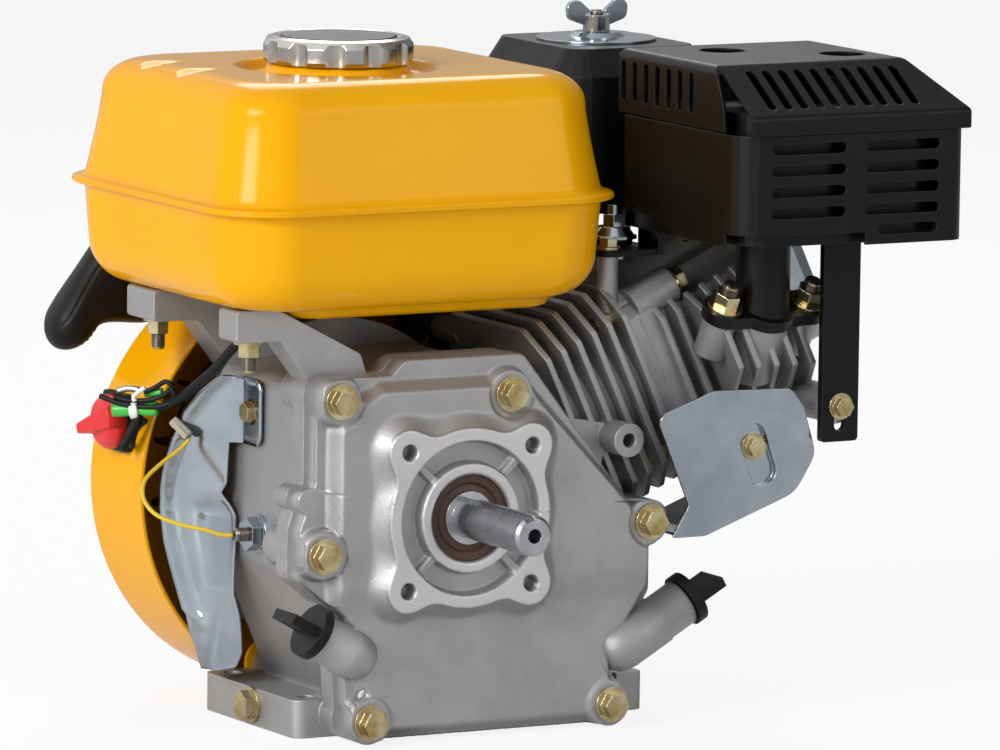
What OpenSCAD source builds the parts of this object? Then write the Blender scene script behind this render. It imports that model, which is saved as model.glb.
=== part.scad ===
// Small air-cooled gasoline engine with an inclined cylinder and a horizontal output shaft.
// Origin: middle of the four base holes, on the underside of the feet. +Z up, the output shaft points along -Y.
// Inside the modules the crank frame is used: its origin is where the crank axis meets the flange face.

/* [Crankshaft] */
// Height of the crank axis above the base
crank_h = 106; // [105:0.5:110]
// Diameter of the output shaft
shaft_d = 19.05; // [17:0.05:20]
// Length of the output shaft in front of the flange face
shaft_len = 61; // [50:1:75]
// Diameter of the main journals
journal_d = 25; // [23:0.5:26]
// Piston stroke
stroke = 45; // [40:1:46]
// Width of the keyway in the output shaft
key_w = 4.76; // [4:0.01:6]
// Tapped hole in the end of the output shaft
shaft_tap_d = 6.9; // [5:0.1:8]
// Teeth on the crankshaft timing gear, half of those on the cam gear
gear_teeth = 20; // [16:4:24]
// Distance from the crank axis to the cam axis
cam_distance = 55; // [53:0.5:56]

/* [Crankcase] */
// Base hole spacing across the shaft
base_w = 162; // [158:1:166]
// Base hole spacing along the shaft
base_l = 75.5; // [72:0.5:78]
// Diameter of the base holes
base_hole_d = 9; // [7:0.5:10]
// Thickness of the feet
foot_t = 18; // [14:1:22]
// Hole circle of the flange face
flange_pcd = 92.1; // [90:0.1:95]
// Tapped holes in the flange face
flange_tap_d = 6.9; // [5:0.1:8]
// Depth of the side cover from the flange face to the joint
cover_depth = 28; // [27:0.5:30]
// Depth of the crankcase behind the joint
case_depth = 90; // [89:0.5:92]
// Wall of the castings
case_wall = 6; // [5:0.5:8]
// Outside diameter of the main bearings
bearing_d = 52; // [48:1:54]
// Width of the main bearings
bearing_w = 15; // [13:0.5:15]
// Outside diameter of the oil seals
seal_d = 41.25; // [38:0.25:43]
// Width of the oil seals
seal_w = 6; // [5:0.5:7]

/* [Cylinder] */
// Cylinder bore
bore_d = 68; // [64:1:70]
// Upward tilt of the cylinder
cyl_tilt = 25; // [24:0.5:26]
// Distance from the crank axis to the head joint
deck_t = 134; // [132:1:138]
// Wall of the cylinder barrel
barrel_wall = 7; // [6:0.5:9]
// Pitch of the cooling fins
fin_pitch = 9; // [8:0.5:11]
// Thickness of a cooling fin
fin_t = 2.8; // [2:0.2:4]
// Length of the cylinder head
head_len = 70; // [68:1:74]
// Height of the rocker cover
rocker_h = 33; // [28:1:36]

/* [Fuel tank] */
// Width of the tank at its seam
tank_w = 213; // [205:1:215]
// Depth of the tank at its seam
tank_d = 196; // [188:1:200]
// Height of the tank floor above the crank axis
tank_floor = 99; // [98:0.5:102]
// Height of the seam above the crank axis
tank_seam = 147; // [140:1:155]
// Height of the tank top above the crank axis
tank_top = 205; // [200:1:210]
// Wall of the tank
tank_wall = 2; // [1.5:0.1:3]
// Diameter of the fuel cap
cap_d = 71; // [66:1:76]
// Bore of the filler neck
neck_d = 40; // [34:1:46]

/* [Exhaust and air] */
// Width of the muffler guard
guard_w = 122; // [116:1:126]
// Depth of the muffler guard
guard_d = 120; // [112:1:122]
// Height of the muffler guard
guard_h = 84; // [80:1:90]
// Sheet thickness of the guards and shrouds
sheet_t = 1.4; // [1:0.1:2]
// Outside diameter of the exhaust pipe
pipe_d = 26; // [22:1:27]
// Width of the air filter cover
filter_w = 92; // [84:1:96]
// Depth of the air filter cover
filter_d = 104; // [96:1:108]
// Height of the air filter cover
filter_h = 74; // [68:1:78]

/* [Starter] */
// Radius of the fan cover
fan_cover_r = 104; // [102:0.5:105]
// Depth of the fan cover
fan_cover_d = 53; // [50:1:56]
// Radius of the recoil housing
recoil_r = 76; // [72:1:80]
// Depth of the recoil housing
recoil_d = 62; // [58:1:66]
// Radius at which the rope leaves the reel
rope_r = 30; // [26:1:34]
// Diameter of the starter rope
rope_d = 4; // [3:0.5:5]

/* [Fasteners and fits] */
// Large bolt diameter
m8_d = 8; // [7:0.5:8]
// Small bolt diameter
m6_d = 6; // [5:0.5:6]
// Radial clearance of a running fit
run_gap = 0.05; // [0.02:0.01:0.1]
// Clearance between neighbouring loose pieces
loose_gap = 0.3; // [0.2:0.05:0.5]
// Radial clearance of a bolt in its hole
bolt_gap = 0.05; // [0.02:0.01:0.2]

/* [Hidden] */
$fn = 48;
over = 1;
cast = [0.70, 0.70, 0.69];
steel = [0.62, 0.62, 0.60];
zinc = [0.80, 0.82, 0.84];
brass_tone = [0.78, 0.68, 0.42];
yellow = [0.95, 0.67, 0.08];
black = [0.07, 0.07, 0.07];
rubber_brown = [0.26, 0.15, 0.10];

// Middle of the base seen from the crank frame
base_mid = [22, 89];
foot_left = -70;
foot_right = 122;
foot_in_left = -30;
foot_in_right = 70;
foot_front = 41;
foot_back = base_mid.y + base_l / 2 + 9;

// Stations along the shaft, from the flange face backwards
joint_y = cover_depth;
case_back = cover_depth + case_depth;
seal_y = 2.5;
bearing_y = joint_y - 3 - bearing_w;
rear_bearing_y = case_back - 2 - bearing_w;
rear_seal_y = case_back - 1;
boss_back = rear_seal_y + seal_w;
cyl_y = 78;
pin_w = 26;
web_t = 11;
gear_y = joint_y + 1;
gear_w = 10;
hub_y = boss_back + 4;
fan_y0 = 136;
fan_y1 = fan_y0 + fan_cover_d;
recoil_y1 = fan_y1 + recoil_d;

// Left wall of the crankcase and what is screwed into it
case_side = -72;
terminal_at = [74, -13];
terminal_r = 4;
drain_at = [84, -96];
drain_r = 5;
drain_len = 16;

// Side cover
cover_bolts = [[-64, 57], [26, 56], [-72, -15], [102, -9], [-47, -95], [82, -95]];
bolt_seat_y = 10;
boss_r = 10.5;
rim_y = 16;
rim_outline = [
  [-74, 67, 11], [-34, 67, 6], [-27, 74, 8], [36, 74, 15], [96, -2, 8], [106, -20, 6], [106, -43, 16],
  [86, -75, 12], [90, -104.5, 8], [-56, -104.5, 8], [-57, -86, 8], [-60, -45, 10], [-82, -27, 8],
  [-82, -4, 10], [-74, 18, 10]
];
body_outline = [
  [case_side, 62, 9], [-30, 66, 8], [30, 68, 12], [86, -3, 10], [98, -42, 14], [80, -76, 12], [80, -104.5, 7],
  [-46, -104.5, 7], [-46, -86, 8], [case_side, -26, 10]
];
dome_base = [
  [-66, 44, 12], [-52, 60, 10], [22, 62, 14], [92, -18, 12], [98, -42, 12], [78, -84, 10], [72, -101, 8],
  [-40, -101, 8], [-66, -40, 14]
];
dome_top = [[-56, 38, 12], [-44, 50, 8], [20, 52, 12], [80, -18, 10], [86, -32, 6], [-57, -44, 6]];
dome_low = [[78, -62, 6], [64, -96, 6], [-36, -96, 6], [-56, -62, 6]];
flange_half = flange_pcd / 2 * cos(45);
groove_r = 36.5;
groove_inner_r = 25;
seat_r = bearing_d / 2 + 7;

// Oil fillers
filler_y = 16;
filler_tilt = 30;
filler_r = 11.5;
filler_bore_r = 9;
filler_lens = [21, 27];
filler_root = 12;
filler_roots = [[-54, -63], [100, -63]];

// Cylinder and head, in the tilted frame
fin_half_w = 49;
fin_half_n = 52;
fin_cut = 14;
deck_half = 45;
core_half = 37;
head_t1 = deck_t + head_len;
rocker_t1 = head_t1 + rocker_h;
head_fin_top = 37;
head_bolts = [[-36, -36], [-36, 36], [36, -36], [36, 36]];
head_seat_t = deck_t + 24;
rocker_half = 31.5;
rocker_flange = 42;
rocker_bolts = [[-37.6, 0], [37.6, 0], [0, -37.6], [0, 37.6]];
piston_h = 46;
pin_below_crown = 26;
rod_len = 84;
crown_t = stroke / 2 + rod_len + pin_below_crown;

// Exhaust
port = [163, 13, 86];
port_tilt = 30;
port_stud_x = 22.5;
port_fin_t0 = 158;
flange_t = 6;
guard_x0 = 114;
guard_y0 = -52;
guard_z0 = 126;
muffler_gap = 8;
strap_x = 195.5;
strap_bolt = [strap_x, -6, 43];
deflector_bolt = [153, 0, 25];

// Tank, in the crank frame
tank_x0 = -127;
tank_y0 = -4;
tank_x1 = tank_x0 + tank_w;
tank_y1 = tank_y0 + tank_d;
cap_at = [-28, 85];
neck_wall = 3;
tank_studs = [[-98, 38], [-98, 131]];
arm_top = tank_floor;
side_lug = [-77, 10];
side_lug_r = 6;
fan_post_r = 7;
neck_top = tank_top + 4;
cap_h = 10.5;
groove_out = 46;
belly = 5.5;
scallops = [93, 130, 167];
belly_x0 = -85.5;
arm_seat = 84;

// Air filter and carburettor
filter_at = [142, 140];
filter_z0 = 132;
filter_lip = 1.4;
intake_t = 165;
intake_n = 22;
intake_x = intake_t * cos(cyl_tilt) - intake_n * sin(cyl_tilt);
intake_z = intake_t * sin(cyl_tilt) + intake_n * cos(cyl_tilt);
intake_y = cyl_y + fin_half_w + 2;
throttle_at = [108, 60];
control_z = 114;
control_posts = [[96, 44], [96, 78]];
plate_t = 3;
strap_t = 4;

// Starter rope line
rope_angle = 142;
rope_y = fan_y1 + 26;
grip_s = 126;
reel_w = 14;

// Ignition coil and side shroud
coil_y0 = fan_y0 + 4;
coil_w = 16;
coil_posts = [20, 50];
flywheel_r = fan_cover_r - 26;
coil_post_r = flywheel_r + 14;
coil_gap = 0.6;
shroud_bolt = [80, 44];
fan_posts = [for (a = [-112.7, -67.3, 128.8]) (fan_cover_r - 10.8) * [cos(a), sin(a)]];
fan_top = tank_floor - 6;
fan_arm_t = 150;
fan_arm_top = -22;
fan_arm_step = 2;
cam_angle = -55;
cam_at = cam_distance * [cos(cam_angle), sin(cam_angle)];
cam_r = 7;
cam_boss_r = 12;
fit_gap = 0.02;

// Lead routes
switch_at = [160, 31];
black_route = [[-84, 62, 84], [-87, 74, 76], [-89, 88, 65], [-91, 102, 56], [-94, 115, 47], [-99, 126, 41.2]];
yellow_route = [
  [-91, 111, 28], [-96, 112, 23], [-106, 111, 17], [-116, 108, 10], [-119, 103, 2], [-115, 97, -5],
  [-106, 89, -9], [-97, 82, -11], [-91, 77, -13], [-86.5, 74, -13]
];
switch_route = [[-104, 131.5, 35], [-106, 137, 30], [-106.5, 140, 24], [-105.5, 142.5, 21.5],
  [-104.6, 146.5, 22.4]];
boot_route = [[-96, 119, 36], [-93, 115, 32], [-91, 112, 29]];
lead_d = 3;

// Outline helpers: an outline is a list of [x, y, corner radius], drawn clockwise
function unit(v) = v / norm(v);
function flat(p) = [p.x, p.y];
function turn(p, i) = p[(i + len(p)) % len(p)];
function arc_points(c, r, a0, sweep) =
  let (n = max(1, ceil(abs(sweep) / 15)))
  [for (i = [0:n]) c + r * [cos(a0 + sweep * i / n), sin(a0 + sweep * i / n)]];
function corner(a, b, c, r) =
  let (
    u = unit(a - b),
    v = unit(c - b),
    half = acos(u * v) / 2,
    mid = b + unit(u + v) * r / sin(half),
    p = b + u * r / tan(half) - mid,
    q = b + v * r / tan(half) - mid,
    a0 = atan2(p.y, p.x),
    sweep = (atan2(q.y, q.x) - a0 + 900) % 360 - 180
  )
  arc_points(mid, r, a0, sweep);
function rounded(p) = [
  for (i = [0:len(p) - 1])
    each p[i][2] > 0 ? corner(flat(turn(p, i - 1)), flat(p[i]), flat(turn(p, i + 1)), p[i][2]) : [flat(p[i])]
];
function shrunk(p, d) = [
  for (i = [0:len(p) - 1])
    let (
      u = unit(flat(p[i]) - flat(turn(p, i - 1))),
      v = unit(flat(turn(p, i + 1)) - flat(p[i])),
      m = [u.y + v.y, -u.x - v.x] / (1 + u * v),
      outer = u.x * v.y - u.y * v.x < 0
    )
    [p[i].x + m.x * d, p[i].y + m.y * d, outer ? max(p[i][2] - d, 1) : p[i][2] + d]
];
function box_outline(x0, x1, y0, y1, r) = [[x0, y1, r], [x1, y1, r], [x1, y0, r], [x0, y0, r]];
function cut_box(hx, hy, c) = [
  [-hx, hy - c, 3], [c - hx, hy, 3], [hx - c, hy, 3], [hx, hy - c, 3],
  [hx, c - hy, 3], [hx - c, -hy, 3], [c - hx, -hy, 3], [-hx, c - hy, 3]
];

// Frames
module place() {
  translate([-base_mid.x, -base_mid.y, crank_h]) children();
}
// Draws an (x, z) outline from y0 to y1
module slab(y0, y1) {
  translate([0, y1, 0]) rotate([90, 0, 0]) linear_extrude(y1 - y0) children();
}
module rod_y(r, y0, y1, at = [0, 0]) {
  translate([at.x, y1, at.y]) rotate([90, 0, 0]) cylinder(r = r, h = y1 - y0);
}
// Cylinder frame: x along the bore, y along the shaft, z across the bore
module tilted() {
  translate([0, cyl_y, 0]) rotate([0, -cyl_tilt, 0]) children();
}
// Draws a (y, z) outline from t0 to t1 along x
module along(t0, t1) {
  translate([t0, 0, 0]) rotate([90, 0, 90]) linear_extrude(t1 - t0) children();
}
module rod_x(r, x0, x1) {
  translate([x0, 0, 0]) rotate([0, 90, 0]) cylinder(r = r, h = x1 - x0);
}
module ring(r_out, r_in, h) {
  difference() {
    cylinder(r = r_out, h = h);
    translate([0, 0, -over]) cylinder(r = r_in, h = h + 2 * over);
  }
}
module exhaust_frame() {
  translate(port) rotate([port_tilt, 0, 0]) children();
}

// Fasteners stand on z = 0 with the head above
module flange_bolt(d, len) {
  cylinder(r = d * 1.06, h = d * 0.2);
  translate([0, 0, d * 0.2]) cylinder(r = d * 0.8, h = d * 0.7, $fn = 6);
  translate([0, 0, -len]) cylinder(r = d / 2, h = len);
}
module facing_front() {
  rotate([90, 0, 0]) children();
}
module facing_back() {
  rotate([-90, 0, 0]) children();
}

// Swept round lead through the route's own points
function lead_ring(route, i, d, n) =
  let (
    a = route[max(i - 1, 0)],
    b = route[min(i + 1, len(route) - 1)],
    t = unit(b - a),
    s = unit(cross(t, [0, 0, 1])),
    w = cross(s, t)
  )
  [for (k = [0:n - 1]) route[i] + d / 2 * (cos(360 * k / n) * s + sin(360 * k / n) * w)];
module lead(route, d, sides = 8) {
  last = len(route) - 1;
  points = [for (i = [0:last]) each lead_ring(route, i, d, sides)];
  walls = [
    for (i = [0:last - 1], k = [0:sides - 1])
      let (a = i * sides + k, b = i * sides + (k + 1) % sides)
      each [[a, b, a + sides], [b, b + sides, a + sides]]
  ];
  caps = [[for (k = [sides - 1:-1:0]) k], [for (k = [0:sides - 1]) last * sides + k]];
  polyhedron(points = points, faces = concat(walls, caps));
}

// Castings
module bolt_holes(y1) {
  for (p = cover_bolts) rod_y(m8_d / 2 + bolt_gap, -over, y1, p);
}
module foot(x0, x1, front) {
  translate([0, 0, -crank_h]) linear_extrude(foot_t) polygon(rounded(box_outline(x0, x1, front, foot_back, 6)));
}
module base_holes() {
  for (side = [-1, 1], end = [-1, 1])
    translate([base_mid.x + side * base_w / 2, base_mid.y + end * base_l / 2, -crank_h - over])
      cylinder(r = base_hole_d / 2, h = foot_t + 12);
}
module fins(t0, t1) {
  for (t = [t1 - fin_t:-fin_pitch:t0])
    along(t, t + fin_t) polygon(rounded(cut_box(fin_half_w, fin_half_n, fin_cut)));
}
arm_outline = [
  [-109, arm_top, 2], [-88, arm_top, 8], [-44, 76, 4], [-38, 58, 2], [-66, 58, 4], [-86, arm_seat, 4],
  [-109, arm_seat, 2]
];
pad_outline = [[-109, arm_top, 2], [-86, arm_top, 2], [-86, arm_seat, 2], [-109, arm_seat, 2]];
module tank_arms() {
  color(cast) place() difference() {
    union() {
      slab(joint_y + 1, joint_y + 19) polygon(rounded(arm_outline));
      slab(case_back - 4, fan_y0 - 2) polygon(rounded(arm_outline));
      slab(case_back, tank_studs[1].y + 11) polygon(rounded(pad_outline));
      rod_y(fan_post_r, case_back - 3, fan_y0, fan_posts[2]);
    }
    slab(joint_y, case_back) polygon(rounded(body_outline));
    slab(joint_y, joint_y + 11) polygon(rounded(rim_outline));
    for (p = cover_bolts) rod_y(boss_r + fit_gap, joint_y, joint_y + 24 + fit_gap, p);
    rod_y(m6_d / 2 + bolt_gap, fan_y0 - 13, fan_y0 + over, fan_posts[2]);
    for (p = tank_studs)
      translate([p.x, p.y, arm_seat - over])
        cylinder(r = m6_d / 2 + bolt_gap, h = arm_top - arm_seat + 2 * over);
  }
}
lug_at = [91, 30];
module front_lug() {
  rod_y(8, 12, joint_y + 20, lug_at);
  slab(joint_y, joint_y + 14) polygon([[lug_at.x - 34, 42], lug_at + [-2, 6], lug_at + [-4, -5], [82, 6],
    [74, 12]]);
}
module crankcase() {
  color(cast) place() difference() {
    union() {
      difference() {
        union() {
          slab(joint_y, joint_y + 11) polygon(rounded(rim_outline));
          slab(joint_y, case_back) polygon(rounded(body_outline));
          foot(foot_left, foot_in_left, foot_front);
          foot(foot_in_right, foot_right, foot_front + 7);
          tilted() {
            rod_x(bore_d / 2 + barrel_wall, 40, deck_t);
            fins(74, deck_t - 8);
            along(deck_t - 8, deck_t) polygon(rounded(cut_box(deck_half, deck_half, 12)));
          }
        }
        slab(joint_y - over, case_back - case_wall) polygon(rounded(shrunk(body_outline, case_wall)));
      }
      for (p = cover_bolts) rod_y(boss_r, joint_y, joint_y + 24, p);
      rod_y(seat_r, rear_bearing_y, boss_back);
      rod_y(cam_boss_r, case_back - 18, case_back, cam_at);
      for (a = coil_posts) rod_y(6, case_back - 2, coil_y0, coil_post_r * [cos(a), sin(a)]);
      for (i = [0:1]) rod_y(fan_post_r, case_back - 2, fan_y0, fan_posts[i]);
      for (p = control_posts) translate([p.x, p.y, 86]) cylinder(r = 5, h = control_z - 86);
      rod_y(side_lug_r, joint_y, joint_y + 12, side_lug);
      front_lug();
    }
    bolt_holes(joint_y + 22);
    base_holes();
    tilted() {
      rod_x(bore_d / 2, 30, deck_t + over);
      for (p = head_bolts)
        translate([deck_t - 22, p.x, p.y]) rod_x(m8_d / 2 + bolt_gap, 0, 22 + over);
    }
    rod_y(bearing_d / 2, rear_bearing_y - over - 1, rear_bearing_y + bearing_w);
    rod_y(journal_d / 2 + 1, rear_bearing_y, boss_back + over);
    rod_y(seal_d / 2, rear_seal_y, boss_back + over);
    rod_y(flange_tap_d / 2, 12 - over, 30, lug_at);
    for (x = [foot_left - over, foot_right - drain_len])
      translate([x, drain_at.x, drain_at.y]) rod_x(drain_r + bolt_gap, 0, drain_len + over);
    translate([case_side, terminal_at.x, terminal_at.y]) rod_x(terminal_r + bolt_gap, -over, case_wall + over);
    translate([case_side, shroud_bolt.x, shroud_bolt.y]) rod_x(m6_d / 2 + bolt_gap, -over, 8);
    for (a = coil_posts) rod_y(m6_d / 2 + bolt_gap, coil_y0 - 14, coil_y0 + over, coil_post_r * [cos(a),
      sin(a)]);
    for (i = [0:1]) rod_y(m6_d / 2 + bolt_gap, fan_y0 - 13, fan_y0 + over, fan_posts[i]);
    for (p = control_posts) translate([p.x, p.y, control_z - 12]) cylinder(r = m6_d / 2 + bolt_gap, h = 13);
    rod_y(cam_r + run_gap, case_back - 18 - over, case_back - 4, cam_at);
  }
}

// Side cover with the flange face
module dome() {
  hull() {
    slab(rim_y, rim_y + 1) polygon(rounded(dome_base));
    slab(5, 6) polygon(rounded(dome_top));
    slab(9, 10) polygon(rounded(dome_low));
  }
}
module at_filler(i) {
  p = filler_roots[i];
  lean = (i == 0 ? -1 : 1) * (90 - filler_tilt);
  translate([p.x, filler_y, p.y]) rotate([0, lean, 0]) children();
}
module flange_pad(y0, y1) {
  h = flange_half + 10;
  w = h - 2.5;
  slab(y0, y1)
    polygon(rounded([
      [-h, h, 10], [0, w, 80], [h, h, 10], [w, 0, 80], [h, -h, 10], [0, -w, 80], [-h, -h, 10], [-w, 0, 80]
    ]));
}
module flange_groove() {
  difference() {
    rod_y(groove_r, -over, 6);
    rod_y(groove_inner_r, -2 * over, 7);
    for (a = [45:90:315])
      rotate([0, a, 0]) translate([groove_inner_r - 1, 2.5, -2]) cube([groove_r - groove_inner_r + 2, 5, 4]);
  }
}
module side_cover() {
  color(cast) place() difference() {
    union() {
      difference() {
        union() {
          slab(rim_y, joint_y) polygon(rounded(rim_outline));
          dome();
          for (i = [0, 1]) at_filler(i) translate([0, 0, -filler_root])
            cylinder(r = filler_r, h = filler_lens[i] + filler_root);
        }
        slab(12, joint_y + over) polygon(rounded(shrunk(dome_base, case_wall + 3)));
      }
      for (p = cover_bolts) rod_y(boss_r, bolt_seat_y, joint_y, p);
      rod_y(side_lug_r, bolt_seat_y + 4, joint_y, side_lug);
      rod_y(seat_r, 8, bearing_y + bearing_w + 1);
      rod_y(cam_boss_r, 8, joint_y - 2, cam_at);
      flange_pad(0, 8);
    }
    flange_groove();
    rod_y(groove_inner_r - 4, -over, 1.5);
    bolt_holes(joint_y + over);
    for (p = cover_bolts) rod_y(m8_d * 1.06 + 0.8, -over, bolt_seat_y, p);
    rod_y(seal_d / 2, -over, seal_y + seal_w);
    rod_y(journal_d / 2 + 1, -over, bearing_y + over);
    rod_y(bearing_d / 2, bearing_y, joint_y + over);
    rod_y(cam_r + run_gap, 13, joint_y, cam_at);
    for (a = [45:90:315]) rod_y(flange_tap_d / 2, -over, 22, flange_pcd / 2 * [cos(a), sin(a)]);
    for (i = [0, 1]) at_filler(i) translate([0, 0, 2 - filler_root])
      cylinder(r = filler_bore_r + run_gap, h = filler_lens[i] + filler_root);
  }
}

// Crank train
module oil_seal(y0) {
  translate([0, y0 + seal_w, 0]) rotate([90, 0, 0]) rotate_extrude()
    polygon([
      [journal_d / 2 + run_gap, 1], [journal_d / 2 + 2.5, 1], [journal_d / 2 + 4, 3], [seal_d / 2 - 3, 3],
      [seal_d / 2 - 2.5, 0], [seal_d / 2 - fit_gap, 0], [seal_d / 2 - fit_gap, seal_w],
      [seal_d / 2 - 4, seal_w], [journal_d / 2 + 3, seal_w - 1.2], [journal_d / 2 + run_gap, seal_w - 0.5]
    ]);
}
module oil_seals() {
  color(rubber_brown) place() {
    oil_seal(seal_y);
    oil_seal(rear_seal_y);
  }
}
module bearing(y0) {
  r0 = journal_d / 2 + run_gap;
  r1 = bearing_d / 2 - fit_gap;
  race = 4.5;
  translate([0, y0 + bearing_w, 0]) rotate([90, 0, 0]) rotate_extrude()
    polygon([
      [r0, 0], [r0 + race, 0], [r0 + race, 1], [r1 - race, 1], [r1 - race, 0], [r1, 0], [r1, bearing_w],
      [r1 - race, bearing_w], [r1 - race, bearing_w - 1], [r0 + race, bearing_w - 1], [r0 + race, bearing_w],
      [r0, bearing_w]
    ]);
}
module main_bearings() {
  color(steel) place() {
    bearing(bearing_y);
    bearing(rear_bearing_y);
  }
}
// Straight-sided gear tooth profile with backlash, one tooth centred on the given angle
gear_module = 2 * cam_distance / (3 * gear_teeth);
module gear(teeth, w, phase) {
  rp = gear_module * teeth / 2;
  step = 360 / teeth;
  linear_extrude(w)
    polygon([
      for (i = [0:teeth - 1])
        each [
          for (k = [[-0.37, -1.15], [-0.12, 0.85], [0.12, 0.85], [0.37, -1.15]])
            (rp + k[1] * gear_module) * [cos(phase + (i + k[0]) * step), sin(phase + (i + k[0]) * step)]
        ]
    ]);
}
pin_at = stroke / 2 * [cos(cyl_tilt), sin(cyl_tilt)];
pin_r = 15;
key_angle = 108;
key_d = 2.4;
counter_r = 46;
web1_y = cyl_y - pin_w / 2 - web_t;
web2_y = cyl_y + pin_w / 2;
taper_y1 = hub_y + 24;
thread_r = 7;
thread_y1 = taper_y1 + 22;
module crank_web(y0, y1) {
  rod_y(pin_r + 2.3, y0, y1, pin_at);
  slab(y0, y1) rotate(cyl_tilt)
    polygon(concat(arc_points([0, 0], counter_r, 110, 140), [[14, -17], [stroke / 2, -15],
      [stroke / 2, 15], [14, 17]]));
}
module crankshaft() {
  color(steel) place() difference() {
    union() {
      rod_y(shaft_d / 2, -shaft_len + 1.5, seal_y);
      translate([0, -shaft_len + 1.5, 0]) facing_front()
        cylinder(r1 = shaft_d / 2, r2 = shaft_d / 2 - 1.5, h = 1.5);
      rod_y(journal_d / 2, seal_y - 1, web1_y + 1);
      translate([0, gear_y + gear_w, 0]) facing_front() gear(gear_teeth, gear_w, cam_angle + 180 / gear_teeth);
      crank_web(web1_y, web1_y + web_t);
      rod_y(pin_r, web1_y + 1, web2_y + 1, pin_at);
      crank_web(web2_y, rear_bearing_y - 1);
      rod_y(journal_d / 2, web2_y + 1, hub_y);
      translate([0, hub_y, 0]) facing_back()
        cylinder(r1 = journal_d / 2 - 1, r2 = journal_d / 2 - 3.4, h = taper_y1 - hub_y);
      rod_y(thread_r, taper_y1 - 1, thread_y1);
    }
    rotate([0, -key_angle, 0]) translate([shaft_d / 2 - key_d, -shaft_len - over, -key_w / 2])
      cube([4, shaft_len + seal_y, key_w]);
    rod_y(shaft_tap_d / 2, -shaft_len - over, -shaft_len + 26);
  }
}
module camshaft() {
  lobe_y = gear_y + gear_w + 1.5;
  color(steel) place() {
    rod_y(cam_r, 13.3, case_back - 4.3, cam_at);
    translate([cam_at.x, gear_y + gear_w, cam_at.y]) facing_front()
      gear(2 * gear_teeth, gear_w, cam_angle + 180);
    for (i = [0, 1])
      rod_y(cam_r + 3, lobe_y + 5 * i, lobe_y + 5 * i + 4.5, cam_at + 4 * [cos(110 * i - 90),
        sin(110 * i - 90)]);
  }
}
module piston() {
  r = bore_d / 2 - run_gap;
  pin_t = crown_t - pin_below_crown;
  color(cast) place() tilted() difference() {
    union() {
      difference() {
        rod_x(r, crown_t - piston_h, crown_t);
        rod_x(r - 5, crown_t - piston_h - over, crown_t - 8);
        for (k = [0:2])
          translate([crown_t - 7 - 4 * k, 0, 0]) rotate([0, 90, 0]) ring(r + over, r - 2.5, 1.5);
      }
      for (side = [-1, 1]) translate([pin_t, side * 20, 0]) rotate([90, 0, 0])
        cylinder(r = 13, h = 16, center = true);
    }
    translate([pin_t, 0, 0]) rotate([90, 0, 0]) cylinder(r = 9 + fit_gap, h = 3 * r, center = true);
    for (side = [-1, 1])
      translate([crown_t - piston_h + 6, side * (r - 2), 0]) cube([14, 20, 2 * r], center = true);
  }
  color(steel) place() tilted() translate([crown_t - pin_below_crown, 0, 0]) rotate([90, 0, 0]) difference() {
    cylinder(r = 9, h = bore_d - 12, center = true);
    cylinder(r = 5.5, h = bore_d, center = true);
  }
}

// Cylinder head
module head_fins() {
  low = -fin_half_n;
  for (t = [head_t1 - 6 - fin_t:-fin_pitch:deck_t + 2])
    along(t, t + fin_t)
      polygon(rounded([
        [-fin_half_w, head_fin_top - 10, 3], [10 - fin_half_w, head_fin_top, 3], [fin_half_w - 10,
        head_fin_top, 3],
        [fin_half_w, head_fin_top - 10, 3], [fin_half_w, low + 10, 3], [fin_half_w - 10, low, 3],
        [10 - fin_half_w, low, 3], [-fin_half_w, low + 10, 3]
      ]));
}
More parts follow.
